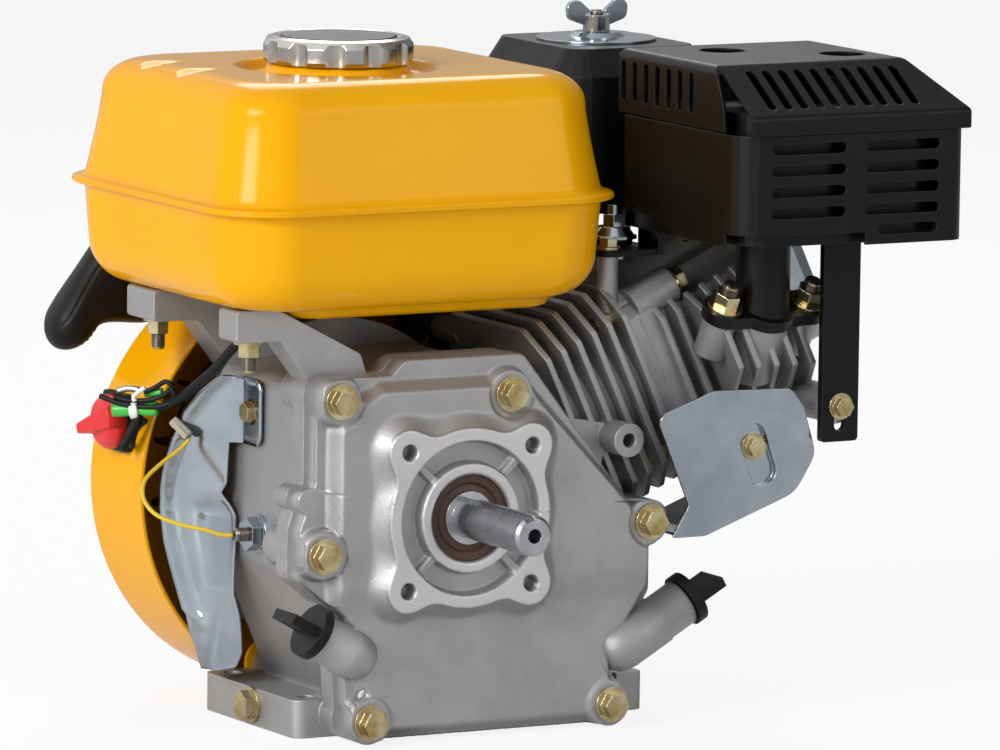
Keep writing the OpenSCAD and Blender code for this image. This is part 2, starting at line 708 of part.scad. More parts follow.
// Short fins in front of the others, cut off under the exhaust flange
function port_top(t, y) = (port.z + tan(port_tilt) * (y - port.y) - (t + fin_t) * sin(cyl_tilt)) / cos(cyl_tilt) - 1;
module port_fins() {
  front = port.y - 7;
  back = cyl_y - fin_half_w + 3;
  for (t = [head_t1 - 6 - fin_t:-fin_pitch:port_fin_t0])
    along(t, t + fin_t) translate([-cyl_y, port_top(t, front)])
      polygon([[front, 0], [back, port_top(t, back) - port_top(t, front)], [back, -44], [front, -20]]);
}
plug_t = 178;
plug_n = -20;
module at_plug() {
  tilted() translate([plug_t, fin_half_w, plug_n]) rotate([-90, 0, 0]) children();
}
module cylinder_head() {
  color(cast) place() difference() {
    union() {
      tilted() {
        along(deck_t, head_t1) polygon(rounded(cut_box(core_half, core_half, 8)));
        along(deck_t, deck_t + 7) polygon(rounded(cut_box(deck_half, deck_half, 12)));
        head_fins();
        port_fins();
        along(head_t1 - 5, head_t1) polygon(rounded(cut_box(rocker_flange, rocker_flange, 16)));
        for (p = head_bolts) translate([deck_t, p.x, p.y]) rod_x(9.5, 0, head_seat_t - deck_t + over);
      }
      rod_y(pipe_d / 2 + 2, 22, 46, [port.x, port.z - 18]);
      exhaust_frame() {
        translate([0, 0, -32]) cylinder(r = pipe_d / 2 + 1, h = 32);
        for (side = [-1, 1]) translate([side * port_stud_x, 0, -20]) cylinder(r = 8, h = 20);
      }
      rod_y(9, strap_bolt.y + 4, 48, [strap_bolt.x, strap_bolt.z]);
      slab(34, 48) polygon([[strap_bolt.x + 4, strap_bolt.z + 8], [strap_bolt.x - 9, strap_bolt.z - 2],
        [168, 50], [176, 84]]);
      rod_y(9, deflector_bolt.y + 4, 48, [deflector_bolt.x, deflector_bolt.z]);
      rod_y(18, cyl_y + core_half - 8, intake_y, [intake_x, intake_z]);
      at_plug() translate([0, 0, -20]) cylinder(r = 13, h = 20);
    }
    tilted() for (p = head_bolts) {
      translate([deck_t - over, p.x, p.y]) rod_x(m8_d / 2 + bolt_gap, 0, head_len);
      translate([head_seat_t, p.x, p.y]) rod_x(10, 0, head_len);
    }
    tilted() for (p = rocker_bolts) translate([head_t1 - 14, p.x, p.y])
      rod_x(m6_d / 2 + bolt_gap, 0, 14 + over);
    exhaust_frame() {
      translate([0, 0, -30]) cylinder(r = pipe_d / 2 - 4, h = 31);
      for (side = [-1, 1]) translate([side * port_stud_x, 0, -16]) cylinder(r = m8_d / 2 + bolt_gap, h = 17);
    }
    rod_y(m6_d / 2 + bolt_gap, strap_bolt.y + 3, strap_bolt.y + 24, [strap_bolt.x, strap_bolt.z]);
    rod_y(m6_d / 2 + bolt_gap, deflector_bolt.y + 3, deflector_bolt.y + 24, [deflector_bolt.x,
      deflector_bolt.z]);
    rod_y(9, cyl_y + core_half - 4, intake_y + over, [intake_x, intake_z]);
    at_plug() translate([0, 0, -18]) cylinder(r = 7 + fit_gap, h = 19);
  }
}
module rocker_cover() {
  h = rocker_half;
  color(zinc) place() tilted() difference() {
    union() {
      along(head_t1, head_t1 + 3) polygon(rounded(cut_box(rocker_flange, rocker_flange, 16)));
      hull() {
        along(head_t1 + 1, rocker_t1 - 9) polygon(rounded(box_outline(-h, h, -h, h, 11)));
        along(rocker_t1 - 1, rocker_t1) polygon(rounded(box_outline(9 - h, h - 9, 9 - h, h - 9, 8)));
      }
    }
    hull() {
      along(head_t1 - over, rocker_t1 - 10) polygon(rounded(box_outline(2 - h, h - 2, 2 - h, h - 2, 9)));
      along(rocker_t1 - 4, rocker_t1 - 3) polygon(rounded(box_outline(11 - h, h - 11, 11 - h, h - 11, 6)));
    }
    for (p = rocker_bolts) translate([head_t1 - over, p.x, p.y]) rod_x(m6_d / 2 + bolt_gap, 0, 6);
  }
}
module spark_plug() {
  color("white") place() at_plug() {
    translate([0, 0, -17]) cylinder(r = 7, h = 17);
    cylinder(r = 12, h = 8, $fn = 6);
    translate([0, 0, 8]) cylinder(r = 6, h = 22);
  }
}
module plug_cap() {
  color(black) place() at_plug() {
    difference() {
      translate([0, 0, 12]) cylinder(r = 11, h = 32);
      translate([0, 0, 11]) cylinder(r = 6 + fit_gap, h = 19);
    }
    translate([0, 0, 37]) rotate([-90, 0, 0]) cylinder(r = 6, h = 26);
  }
}

// Bolts
module m8_bolts() {
  color(brass_tone) place() {
    for (p = cover_bolts) translate([p.x, bolt_seat_y, p.y]) facing_front()
      flange_bolt(m8_d, joint_y - bolt_seat_y + 20);
    tilted() for (p = head_bolts)
      translate([head_seat_t, p.x, p.y]) rotate([0, 90, 0]) flange_bolt(m8_d, head_seat_t - deck_t + 20);
  }
}
recoil_bolt_r = recoil_r + 5;
recoil_bolt_angles = [30, 150, 270];
module m6_bolts() {
  color(brass_tone) place() {
    tilted() for (p = rocker_bolts)
      translate([head_t1 + 3, p.x, p.y]) rotate([0, 90, 0]) flange_bolt(m6_d, 16);
    translate([strap_bolt.x, strap_bolt.y + 4 - strap_t, strap_bolt.z]) facing_front() flange_bolt(m6_d, 22);
    translate([deflector_bolt.x, deflector_bolt.y + 4 - sheet_t, deflector_bolt.z]) facing_front()
      flange_bolt(m6_d, 20);
    translate([case_side - sheet_t, shroud_bolt.x, shroud_bolt.y]) rotate([0, -90, 0]) flange_bolt(m6_d, 9);
    for (a = coil_posts)
      translate([coil_post_r * cos(a), coil_y0 + coil_w, coil_post_r * sin(a)]) facing_back()
        flange_bolt(m6_d, coil_w + 12);
    for (a = recoil_bolt_angles)
      translate([recoil_bolt_r * cos(a), fan_y1 + 2, recoil_bolt_r * sin(a)]) facing_back()
        flange_bolt(m6_d, 8);
    for (p = fan_posts) translate([p.x, fan_y0 + 2, p.y]) facing_back() flange_bolt(m6_d, 12);
    for (p = control_posts) translate([p.x, p.y, control_z + plate_t]) flange_bolt(m6_d, 14);
  }
}

// Flywheel side
fly_y0 = fan_y0 + 2;
fly_y1 = fly_y0 + 22;
cup_r = 32;
module flywheel() {
  color(cast) place() difference() {
    union() {
      rod_y(20, hub_y + 1, fly_y1 - 2);
      rod_y(flywheel_r, fly_y0, fly_y1);
    }
    difference() {
      rod_y(flywheel_r - 14, fly_y0 - over, fly_y1 + over);
      rod_y(flywheel_r, fly_y0 + 8, fly_y0 + 14);
      rod_y(20, hub_y, fly_y1 - 2);
    }
    translate([0, hub_y, 0]) facing_back()
      cylinder(r1 = journal_d / 2 - 1 + fit_gap, r2 = journal_d / 2 - 3.4 + fit_gap, h = taper_y1 - hub_y);
    rod_y(thread_r + over, taper_y1 - 1, fly_y1 + over);
  }
}
blade_count = 16;
module cooling_fan() {
  color(black) place() {
    translate([0, fly_y1 + 3, 0]) rotate([90, 0, 0]) ring(flywheel_r, cup_r + 2, 3);
    for (i = [0:blade_count - 1])
      rotate([0, 360 / blade_count * i, 0]) translate([50, fly_y1 + 2, 0]) rotate([0, -25, 0])
        translate([0, 0, -1.2]) cube([flywheel_r - 48, 16, 2.4]);
  }
}
module starter_cup() {
  color(steel) place() difference() {
    rod_y(cup_r, fly_y1 - 2, fly_y1 + 24);
    rod_y(cup_r - 2, fly_y1 + 0.5, fly_y1 + 25);
    rod_y(thread_r + fit_gap, fly_y1 - 3, fly_y1 + 2);
    for (a = [0:60:300])
      rotate([0, a, 0]) translate([cup_r - 4, fly_y1 + 8, -6]) cube([8, 9, 12]);
  }
  color(zinc) place() translate([0, fly_y1, 0]) facing_back() difference() {
    cylinder(r = 12, h = 10.5, $fn = 6);
    translate([0, 0, -over]) cylinder(r = thread_r + fit_gap, h = 14);
  }
}
module fan_form(y0, y1, inset) {
  low = -fin_half_n - 4 + inset;
  r = fan_cover_r - inset;
  intersection() {
    rod_y(r, y0, y1);
    slab(y0, y1) translate([-r - over, -r - over]) square([2 * r + 2 * over, r + over + fan_top - inset]);
  }
  rotate([0, -cyl_tilt, 0]) translate([30, y0 - 7, low])
    cube([fan_arm_t - inset - 30, y1 - y0 + 7 - fan_arm_step, fan_arm_top - inset - low]);
}
module fan_cover() {
  skin = sheet_t + 0.2;
  color(yellow) place() difference() {
    union() {
      difference() {
        fan_form(fan_y0, fan_y1, 0);
        fan_form(fan_y0 - over, fan_y1 - skin, skin);
      }
      for (p = fan_posts) intersection() {
        rod_y(11, fan_y0, fan_y0 + 2, p);
        rod_y(fan_cover_r, fan_y0, fan_y1);
      }
    }
    rod_y(recoil_r - 14, fan_y1 - 5, fan_y1 + over);
    for (p = fan_posts) rod_y(m6_d / 2 + bolt_gap, fan_y0 - over, fan_y0 + 4, p);
    for (a = recoil_bolt_angles)
      rod_y(m6_d / 2 + bolt_gap, fan_y1 - 5, fan_y1 + over, recoil_bolt_r * [cos(a), sin(a)]);
    translate([-fan_cover_r - over, switch_at.x, switch_at.y]) rotate([0, 90, 0])
      cylinder(r = switch_r + bolt_gap, h = 20);
  }
}
switch_r = 9;
module side_shroud() {
  tab = [case_side - sheet_t, shroud_bolt.x - 9];
  bend = [case_side - sheet_t, shroud_bolt.x + 8];
  dir = unit([-97, 133] - bend);
  face = [
    [-0.3, 28], [-0.3, 60], [18.7, 59], [29.2, 50.9], [38.9, 39.4], [45.9, 25.7], [50, 13.5], [52, 1.4],
    [51.9, -10.5],
    [49.6, -22.2], [45.9, -33.8], [41.6, -45.3], [37.9, -54.5], [35, -56.6], [32.1, -63.4], [27.8, -72.5],
    [24.8, -81.8],
    [17.8, -83], [3, -77.6], [1, -68], [2.6, -54.6], [6.5, -43], [6.5, -22.9], [7.1, -7.6], [13.8, 3.1],
    [10.8, 7.5],
    [9.5, 28]
  ];
  color(zinc) place() difference() {
    union() {
      translate([bend.x, bend.y, 0]) rotate(atan2(dir.y, dir.x)) rotate([90, 0, 0]) linear_extrude(sheet_t)
        polygon(face);
      translate([tab.x, tab.y, shroud_bolt.y - 16]) cube([sheet_t, bend.y - tab.y + 0.2, 32]);
    }
    translate([bend.x, bend.y, 0]) rotate(atan2(dir.y, dir.x)) translate([32, over, 15.4]) rotate([90, 0, 0])
      cylinder(r = 3, h = sheet_t + 2 * over);
    translate([case_side, shroud_bolt.x, shroud_bolt.y]) rod_x(m6_d / 2 + bolt_gap, -8, 8);
  }
}
module sector(r0, r1, a0, a1) {
  polygon(concat(arc_points([0, 0], r1, a0, a1 - a0), arc_points([0, 0], r0, a1, a0 - a1)));
}
module ignition_coil() {
  r0 = flywheel_r + coil_gap;
  color(black) place() difference() {
    union() {
      slab(coil_y0, coil_y0 + coil_w) sector(r0 + 9, r0 + 19, 12, 58);
      for (a = [14, 35, 56]) slab(coil_y0, coil_y0 + coil_w) sector(r0, r0 + 10, a - 3.5, a + 3.5);
      slab(coil_y0 - 1, coil_y0 + coil_w + 4) sector(r0 + 3, r0 + 12, 26, 44);
    }
    for (a = coil_posts)
      rod_y(m6_d / 2 + bolt_gap, coil_y0 - 5, coil_y0 + coil_w + over, coil_post_r * [cos(a), sin(a)]);
  }
}

// Recoil starter
post_r = 10;
module at_rope() {
  translate([rope_r * sin(rope_angle), rope_y, -rope_r * cos(rope_angle)]) rotate([0, -rope_angle, 0])
    children();
}
guide_s = 72;
module recoil_housing() {
  d = recoil_d;
  r = recoil_r;
  color(yellow) place() difference() {
    union() {
      translate([0, fan_y1, 0]) facing_back() rotate_extrude()
        polygon([
          [r + 12, 0], [r + 12, 2], [r - 4, 2], [r - 6, d - 18], [r - 14, d - 6], [r - 24, d], [0, d],
          [0, d - 2.4], [r - 25, d - 2.4], [r - 16.2, d - 7.5], [r - 8.4, d - 18.5], [r - 6.4, 0]
        ]);
      rod_y(post_r, rope_y - reel_w / 2 - 6, recoil_y1 - 2);
      at_rope() rod_x(8, 60, guide_s);
    }
    at_rope() rod_x(rope_d / 2 + over, 50, guide_s + over);
    for (a = recoil_bolt_angles)
      rod_y(m6_d / 2 + bolt_gap, fan_y1 - over, fan_y1 + 3, recoil_bolt_r * [cos(a), sin(a)]);
    for (a = [0:24:348])
      if (abs(a - rope_angle) > 28) rotate([0, -a, 0]) translate([r - 16, fan_y1 + 10, -3]) cube([16, 24, 6]);
    for (a = [15:30:345]) rotate([0, -a, 0]) translate([18, recoil_y1 - 4, -2.5]) cube([r - 48, 6, 5]);
  }
}
module starter_reel() {
  w = reel_w;
  floor_r = rope_r - rope_d / 2 - loose_gap;
  color(black) place() difference() {
    union() {
      translate([0, rope_y - w / 2, 0]) facing_back() rotate_extrude()
        polygon([[0, 0], [44, 0], [44, 2], [floor_r, 2], [floor_r, w - 2], [44, w - 2], [44, w], [0, w]]);
      rod_y(22, fan_y1 - 9, rope_y - w / 2 + over);
    }
    rod_y(post_r + run_gap, rope_y - w / 2 - 6 - loose_gap, rope_y + w);
  }
}
module starter_rope() {
  color("dimgray") place() at_rope() rod_x(rope_d / 2, 2, guide_s);
}
module starter_grip() {
  color(black) place() at_rope() {
    hull() {
      for (side = [-1, 1]) translate([grip_s, 0, side * 38]) sphere(r = 13, $fn = 24);
      translate([grip_s - 24, 0, 0]) sphere(r = 13, $fn = 24);
    }
    translate([guide_s + loose_gap, 0, 0]) rotate([0, 90, 0])
      cylinder(r1 = 8, r2 = 12.5, h = grip_s - guide_s - 24);
  }
}

// Exhaust
module exhaust_pipe() {
  color(black) place() {
    difference() {
      translate([port.x, port.y, port.z - 10]) cylinder(r = pipe_d / 2, h = guard_z0 - port.z + 10);
      exhaust_frame() translate([-40, -40, -60]) cube([80, 80, 60 + flange_t / 2]);
      translate([port.x, port.y, port.z - 20]) cylinder(r = pipe_d / 2 - 2, h = guard_z0 - port.z + 21);
    }
    exhaust_frame() difference() {
      union() {
        cylinder(r = pipe_d / 2 + 2, h = flange_t);
        for (side = [-1, 1]) translate([side * port_stud_x, 0, 0]) cylinder(r = 10, h = flange_t);
        translate([-port_stud_x, -10, 0]) cube([2 * port_stud_x, 20, flange_t]);
      }
      translate([0, 0, -over]) cylinder(r = pipe_d / 2 - 4, h = flange_t + 2 * over);
      for (side = [-1, 1])
        translate([side * port_stud_x, 0, -over]) cylinder(r = m8_d / 2 + bolt_gap, h = flange_t + 2 * over);
    }
  }
}
guard_x1 = guard_x0 + guard_w;
guard_y1 = guard_y0 + guard_d;
guard_z1 = guard_z0 + guard_h;
lip_low = 53;
lip_top = 62;
lip_gap = 1.8;
brow_d = 32;
hip_w = 18;
guard_corner = 18;
hood_screws = [[153, 38], [199, 4]];
strap_half = 10;
recess_d = 3;
slot_r = m6_d / 2 + bolt_gap;
recess_outline = [[139, 36, 6], [157, 39, 8], [168, 8, 8], [152, 3, 6]];
module strap() {
  y0 = strap_bolt.y + 4 - strap_t;
  hole = m6_d / 2 + bolt_gap;
  difference() {
    union() {
      slab(y0, y0 + strap_t)
        polygon(rounded(box_outline(strap_x - strap_half, strap_x + strap_half, strap_bolt.z - 17,
          guard_z0 - over, 2)));
      translate([strap_x - strap_half, y0, guard_z0 - 3]) cube([2 * strap_half, 26, 4]);
    }
    slab(y0 - over, y0 + strap_t + over)
      polygon(rounded(box_outline(strap_x - hole, strap_x + hole, strap_bolt.z - 12, strap_bolt.z + hole,
        hole - 0.1)));
  }
}
module muffler() {
  g = muffler_gap;
  color(black) place() {
    translate([0, 0, guard_z0]) linear_extrude(lip_top)
      polygon(rounded(box_outline(guard_x0 + g, guard_x1 - g, guard_y0 + g, guard_y1 - g, 16)));
    for (z = [guard_z0 + 20, guard_z0 + 44], y = [guard_y0 + 30, guard_y1 - 30])
      translate([guard_x0 + sheet_t, y, z]) rod_x(4, 0, guard_w - 2 * sheet_t);
    for (q = hood_screws) translate([q.x, q.y, guard_z0 + lip_top - 1]) {
      cylinder(r = 8, h = 12);
      cylinder(r = 5, h = 17, $fn = 6);
    }
    strap();
  }
}
module guard_slot(w, h) {
  linear_extrude(20, center = true)
    polygon(rounded(box_outline(-w / 2, w / 2, -h / 2, h / 2, min(w, h) / 2 - 0.1)));
}
module muffler_guard() {
  outer = [[guard_x0, guard_y1, 8], [guard_x1, guard_y1, 8], [guard_x1, guard_y0, 10], [guard_x0, guard_y0,
    guard_corner]];
  color(black) place() difference() {
    translate([0, 0, guard_z0]) linear_extrude(lip_low - loose_gap) difference() {
      polygon(rounded(outer));
      polygon(rounded(shrunk(outer, sheet_t)));
    }
    translate([guard_x0 - over, guard_y0 - over, guard_z0 - 2]) cube([guard_w * 0.55, guard_corner + over, 8]);
    for (c = [guard_x0 + 35, guard_x0 + 86], k = [0:3])
      translate([c, guard_y0, guard_z0 + 16.5 + 10 * k]) rotate([90, 0, 0]) guard_slot(40, 5);
    translate([guard_x0 + 89, guard_y0, guard_z0 + 7]) rotate([90, 0, 0]) guard_slot(32, 5);
  }
}
function hood_front(low) = [
  [guard_y0 - lip_gap, guard_z0 + lip_top, 3], [guard_y0 + brow_d, guard_z1, 5], [guard_y1, guard_z1, 4],
  [guard_y1, low, 0], [guard_y0 - lip_gap, low, 0]
];
function hood_side(low) = [
  [guard_x0, guard_z1, 4], [guard_x1 - hip_w, guard_z1, 5], [guard_x1, guard_z0 + lip_top, 3],
  [guard_x1, low, 0], [guard_x0, low, 0]
];
module hood_form(low, inset) {
  intersection() {
    along(guard_x0 - over, guard_x1 + over) polygon(rounded(shrunk(hood_front(low), inset)));
    slab(guard_y0 - 9, guard_y1 + over) polygon(rounded(shrunk(hood_side(low), inset)));
  }
}
module guard_hood() {
  z0 = guard_z0 + lip_low;
  rise = guard_h - lip_top;
  depth = brow_d + lip_gap;
  color(black) place() difference() {
    hood_form(z0, 0);
    hood_form(z0 - sheet_t - over, sheet_t);
    for (k = [0:9])
      translate([guard_x0 + 17 + 8.6 * k, guard_y0 - lip_gap + depth / 2, guard_z1 - rise / 2])
        rotate([atan2(rise, depth), 0, 0]) guard_slot(4.6, 29);
    for (k = [0:6])
      translate([guard_x0, guard_y1 - 4.5 - 10.7 * k, guard_z1 - 15]) rotate([90, 0, 90]) guard_slot(4.8, 19);
    along(guard_x0 - over, guard_x0 + 3)
      polygon([
        [guard_y0 - 9, z0 - over], [guard_y0 - 9, guard_z1 + over], [guard_y0 + 30, guard_z1 + over],
        [guard_y0 + 29, guard_z1 - 2], [guard_y0 + 21, guard_z1 - 18], [guard_y0 + 19, z0 - over]
      ]);
    for (q = hood_screws) translate([q.x, q.y, guard_z1 - 5]) cylinder(r = 11, h = 10);
  }
}
module lower_deflector() {
  y1 = deflector_bolt.y + 4;
  y0 = y1 - sheet_t - recess_d;
  face = [
    [99, 42, 5], [129, 53, 12], [172, 52, 6], [179, 43, 10], [186, 20, 10], [175, 2, 16], [126, -16, 10],
    [108, -16, 1],
    [117, -1, 1]
  ];
  color(zinc) place() difference() {
    union() {
      slab(y0, y0 + sheet_t) polygon(rounded(face));
      slab(y0, y1) polygon(rounded(recess_outline));
      slab(y0 + sheet_t / 2, y0 + 58)
        polygon([[175, 5], [171, 0.8], [126, -16], [113, -16], [113, -16 + sheet_t], [126, -16 + sheet_t],
          [171, 2.4]]);
    }
    slab(y0 - over, y1 - sheet_t) polygon(rounded(shrunk(recess_outline, sheet_t)));
    slab(y1 - 5, y1 + over)
      polygon(rounded(box_outline(
        deflector_bolt.x - slot_r, deflector_bolt.x + slot_r, deflector_bolt.z - slot_r,
          deflector_bolt.z + 6, slot_r - 0.1
      )));
  }
}

// Fuel tank
function tank_outline(inset) = box_outline(
  tank_x0 + inset, tank_x1 - inset, tank_y0 + inset, tank_y1 - inset, max(30 - inset / 3, 8)
);
module tank_layer(z, inset) {
  translate([0, 0, z]) linear_extrude(0.5) polygon(rounded(tank_outline(inset)));
}
module belly_layer(z, inset) {
  translate([0, 0, z]) linear_extrude(0.5)
    polygon(rounded(box_outline(belly_x0 + inset, tank_x1 - 22 - inset, tank_y0 + 22 + inset,
      tank_y1 - 22 - inset, 20)));
}
module lower_form(w) {
  hull() {
    tank_layer(tank_seam - 0.5, 5 + w);
    tank_layer(tank_floor + 13 + w / 2, 7 + w);
    tank_layer(tank_floor + w, 20 + w);
  }
  hull() {
    belly_layer(tank_floor + w, w);
    belly_layer(tank_floor - belly + w, 10 + w);
  }
}
module upper_form(w) {
  hull() {
    tank_layer(tank_seam, 5 + w);
    tank_layer(tank_top - 15 - w, 12 + w);
    tank_layer(tank_top - 7 - w, 15 + w);
    tank_layer(tank_top - 2.5 - w, 19.5 + w);
    tank_layer(tank_top - 0.5 - w, 26 + w);
  }
}
module tank_flange() {
  linear_extrude(1.6) difference() {
    polygon(rounded(tank_outline(0)));
    polygon(rounded(tank_outline(5 + tank_wall)));
  }
}
module tank_lower() {
  color(yellow) place() difference() {
    union() {
      difference() {
        lower_form(0);
        lower_form(tank_wall);
        translate([0, 0, tank_seam - over]) linear_extrude(2) polygon(rounded(tank_outline(5 + tank_wall)));
      }
      translate([0, 0, tank_seam - 1.6]) tank_flange();
    }
    for (p = tank_studs) translate([p.x, p.y, tank_floor - over]) cylinder(r = m6_d / 2 + bolt_gap, h = 6);
  }
}
module tank_upper() {
  color(yellow) place() difference() {
    union() {
      difference() {
        upper_form(0);
        difference() {
          upper_form(tank_wall);
          for (y = scallops) translate([tank_x0 + 12, y - 12, tank_top - 9]) cube([52, 24, 9]);
        }
        translate([0, 0, tank_seam - over]) linear_extrude(2) polygon(rounded(tank_outline(5 + tank_wall)));
      }
      translate([0, 0, tank_seam]) tank_flange();
      translate([cap_at.x, cap_at.y, tank_top - 8]) cylinder(r = groove_out + 2.5, h = 7.6);
      translate([cap_at.x, cap_at.y, tank_top - 6]) cylinder(r = cap_d / 2 - 2, h = 7.5);
    }
    translate([cap_at.x, cap_at.y, tank_top - 5]) ring(groove_out, cap_d / 2 - 2, 8);
    translate([cap_at.x, cap_at.y, tank_top - 12]) cylinder(r = neck_d / 2 + neck_wall, h = 20);
    for (y = scallops)
      translate([tank_x0, y, tank_top + 3]) rotate([0, 82, 0]) cylinder(r = 9, h = 70);
  }
}
module filler_neck() {
  color(yellow) place() translate([cap_at.x, cap_at.y, tank_top - 9])
    ring(neck_d / 2 + neck_wall, neck_d / 2, neck_top - tank_top + 9);
}
module stud_nuts() {
  color(brass_tone) place() {
    for (p = tank_studs) translate([p.x, p.y, arm_seat]) mirror([0, 0, 1]) {
      cylinder(r = m6_d * 1.2, h = 1.6);
      translate([0, 0, 1.6]) cylinder(r = m6_d * 0.9, h = 6, $fn = 6);
      translate([0, 0, -(tank_floor - arm_seat) - 3])
        cylinder(r = m6_d / 2, h = tank_floor - arm_seat + 3 + 15);
    }
    exhaust_frame() for (side = [-1, 1]) translate([side * port_stud_x, 0, flange_t]) {
      cylinder(r = 8.6, h = 1.6);
      translate([0, 0, 1.6]) cylinder(r = m8_d * 0.8, h = 7, $fn = 6);
      translate([0, 0, -flange_t - 15]) cylinder(r = m8_d / 2, h = flange_t + 15 + 13);
    }
  }
}
module fuel_cap() {
  r = cap_d / 2;
  color("gainsboro") place() translate([cap_at.x, cap_at.y, neck_top]) difference() {
    rotate_extrude()
      polygon([
        [r - 6, -2], [r - 1, -2], [r, 0], [r, cap_h - 4], [r - 2, cap_h - 0.8], [r - 5, cap_h], [r - 9,
        cap_h - 1],
        [0, cap_h - 0.6], [0, cap_h - 2.6], [r - 8, cap_h - 2.6], [r - 6, cap_h - 4.6]
      ]);
    for (i = [0:11])
      rotate(30 * i) translate([r + 5.2, 0, -3]) cylinder(r = 7.5, h = cap_h + 1);
  }
}
module cap_seal() {
  color(black) place() translate([cap_at.x, cap_at.y, neck_top + loose_gap]) {
    cylinder(r = neck_d / 2 + neck_wall, h = 1.5);
    translate([0, 0, -8]) cylinder(r = neck_d / 2 - 2, h = 9);
    cylinder(r = 9, h = cap_h - 2.6 - 2 * loose_gap);
  }
}

// Carburettor and its levers
spacer_t = 8;
carb_y0 = intake_y + spacer_t;
carb_y1 = carb_y0 + 36;
throat_r = 9;
module carb_flange(y0, y1) {
  x = intake_x;
  z = intake_z;
  slab(y0, y1) polygon(rounded(box_outline(x - 27, x + 27, z - 16, z + 16, 12)));
}
module throat(y0, y1) {
  rod_y(throat_r, y0 - over, y1 + over, [intake_x, intake_z]);
}
module carburettor_spacer() {
  color(black) place() difference() {
    carb_flange(intake_y, carb_y0);
    throat(intake_y, carb_y0);
  }
}
bowl_top = intake_z - 20;
bowl_y = carb_y0 + 18;
choke_y = carb_y1 - 9;
choke_z = intake_z + 19;
valve_x = intake_x - 30;
valve_z = intake_z - 6;
module carburettor() {
  color(cast) place() difference() {
    union() {
      carb_flange(carb_y0, carb_y0 + 5);
      carb_flange(carb_y1 - 5, carb_y1);
      rod_y(14, carb_y0, carb_y1, [intake_x, intake_z]);
      translate([intake_x, bowl_y, bowl_top]) cylinder(r = 15, h = 20);
      translate([intake_x, choke_y, intake_z]) cylinder(r = 5, h = choke_z - intake_z);
      translate([valve_x, bowl_y, valve_z]) rod_x(7, 0, intake_x - valve_x);
    }
    throat(carb_y0, carb_y1);
    translate([intake_x, choke_y, choke_z - 8]) cylinder(r = 2.5 + run_gap, h = 9);
    translate([valve_x, bowl_y, valve_z]) rod_x(2.5 + run_gap, -over, 8);
  }
}
module float_bowl() {
  color(zinc) place() translate([intake_x, bowl_y, bowl_top]) mirror([0, 0, 1]) {
    cylinder(r = 18, h = 3);
    cylinder(r = 16, h = 16);
    translate([0, 0, 16]) cylinder(r1 = 14, r2 = 8, h = 3);
    translate([0, 0, 19]) cylinder(r = 5.5, h = 4, $fn = 6);
  }
}
module choke_lever() {
  color(black) place() translate([intake_x, choke_y, choke_z + loose_gap]) {
    cylinder(r = 6.5, h = 3);
    translate([0, 0, -7]) cylinder(r = 2.5, h = 8);
    translate([0, -4, 0]) cube([34, 8, 3]);
    translate([30, -4, 0]) cube([4, 8, 9]);
  }
}
module fuel_valve_lever() {
  color(black) place() translate([valve_x - loose_gap, bowl_y, valve_z]) {
    rod_x(8, -4, 0);
    rod_x(2.5, -1, 7);
    translate([-4, -4, -26]) cube([4, 8, 26]);
  }
}

// Air filter
filter_x0 = filter_at.x - filter_w / 2;
filter_y0 = filter_at.y - filter_d / 2;
function filter_outline(inset) = box_outline(
  filter_x0 + inset, filter_x0 + filter_w - inset, filter_y0 + inset, filter_y0 + filter_d - inset,
    max(22 - inset, 4)
);
filter_top = filter_z0 + filter_h;
stud_r = 3;
elbow_d = 26;
module air_filter_base() {
  color(black) place() difference() {
    union() {
      translate([0, 0, filter_z0 - 4]) linear_extrude(4) polygon(rounded(filter_outline(0)));
      translate([0, 0, filter_z0 - 1]) linear_extrude(filter_lip + 1) difference() {
        polygon(rounded(filter_outline(4)));
        polygon(rounded(filter_outline(6)));
      }
      slab(carb_y1, carb_y1 + elbow_d)
        polygon(rounded([
          [intake_x - 20, filter_z0 - 3, 1], [intake_x + 20, filter_z0 - 3, 1], [intake_x + 20,
          intake_z - 18, 12],
          [intake_x - 20, intake_z - 18, 12]
        ]));
    }
    throat(carb_y1, carb_y1 + elbow_d - 4);
    translate([intake_x, carb_y1 + elbow_d / 2, intake_z]) cylinder(r = throat_r, h = filter_z0);
  }
}
module filter_stud() {
  color(zinc) place() translate([filter_at.x, filter_at.y, filter_z0]) cylinder(r = stud_r, h = filter_h + 14);
}
module filter_element() {
  color("khaki") place() translate([0, 0, filter_z0]) linear_extrude(filter_h - 24) difference() {
    polygon(rounded(filter_outline(9)));
    polygon(rounded(filter_outline(22)));
  }
}
module filter_form(w) {
  hull() {
    translate([0, 0, filter_z0 + loose_gap - (w > 0 ? over : 0)]) linear_extrude(1)
      polygon(rounded(filter_outline(w)));
    translate([0, 0, filter_top - 14 - w]) linear_extrude(1) polygon(rounded(filter_outline(4 + w)));
    translate([0, 0, filter_top - 1 - w]) linear_extrude(1) polygon(rounded(filter_outline(12 + w)));
  }
}
module air_filter_cover() {
  color(black) place() difference() {
    filter_form(0);
    filter_form(2.5);
    translate([filter_at.x, filter_at.y, filter_top - 5]) cylinder(r = stud_r + loose_gap, h = 10);
  }
}
washer_r = 29;
module filter_washer() {
  color(zinc) place() translate([filter_at.x, filter_at.y, filter_top]) rotate_extrude()
    polygon([[stud_r + loose_gap, 0], [washer_r, 0], [washer_r, 1.5], [14, 2], [11, 4],
      [stud_r + loose_gap, 4]]);
}
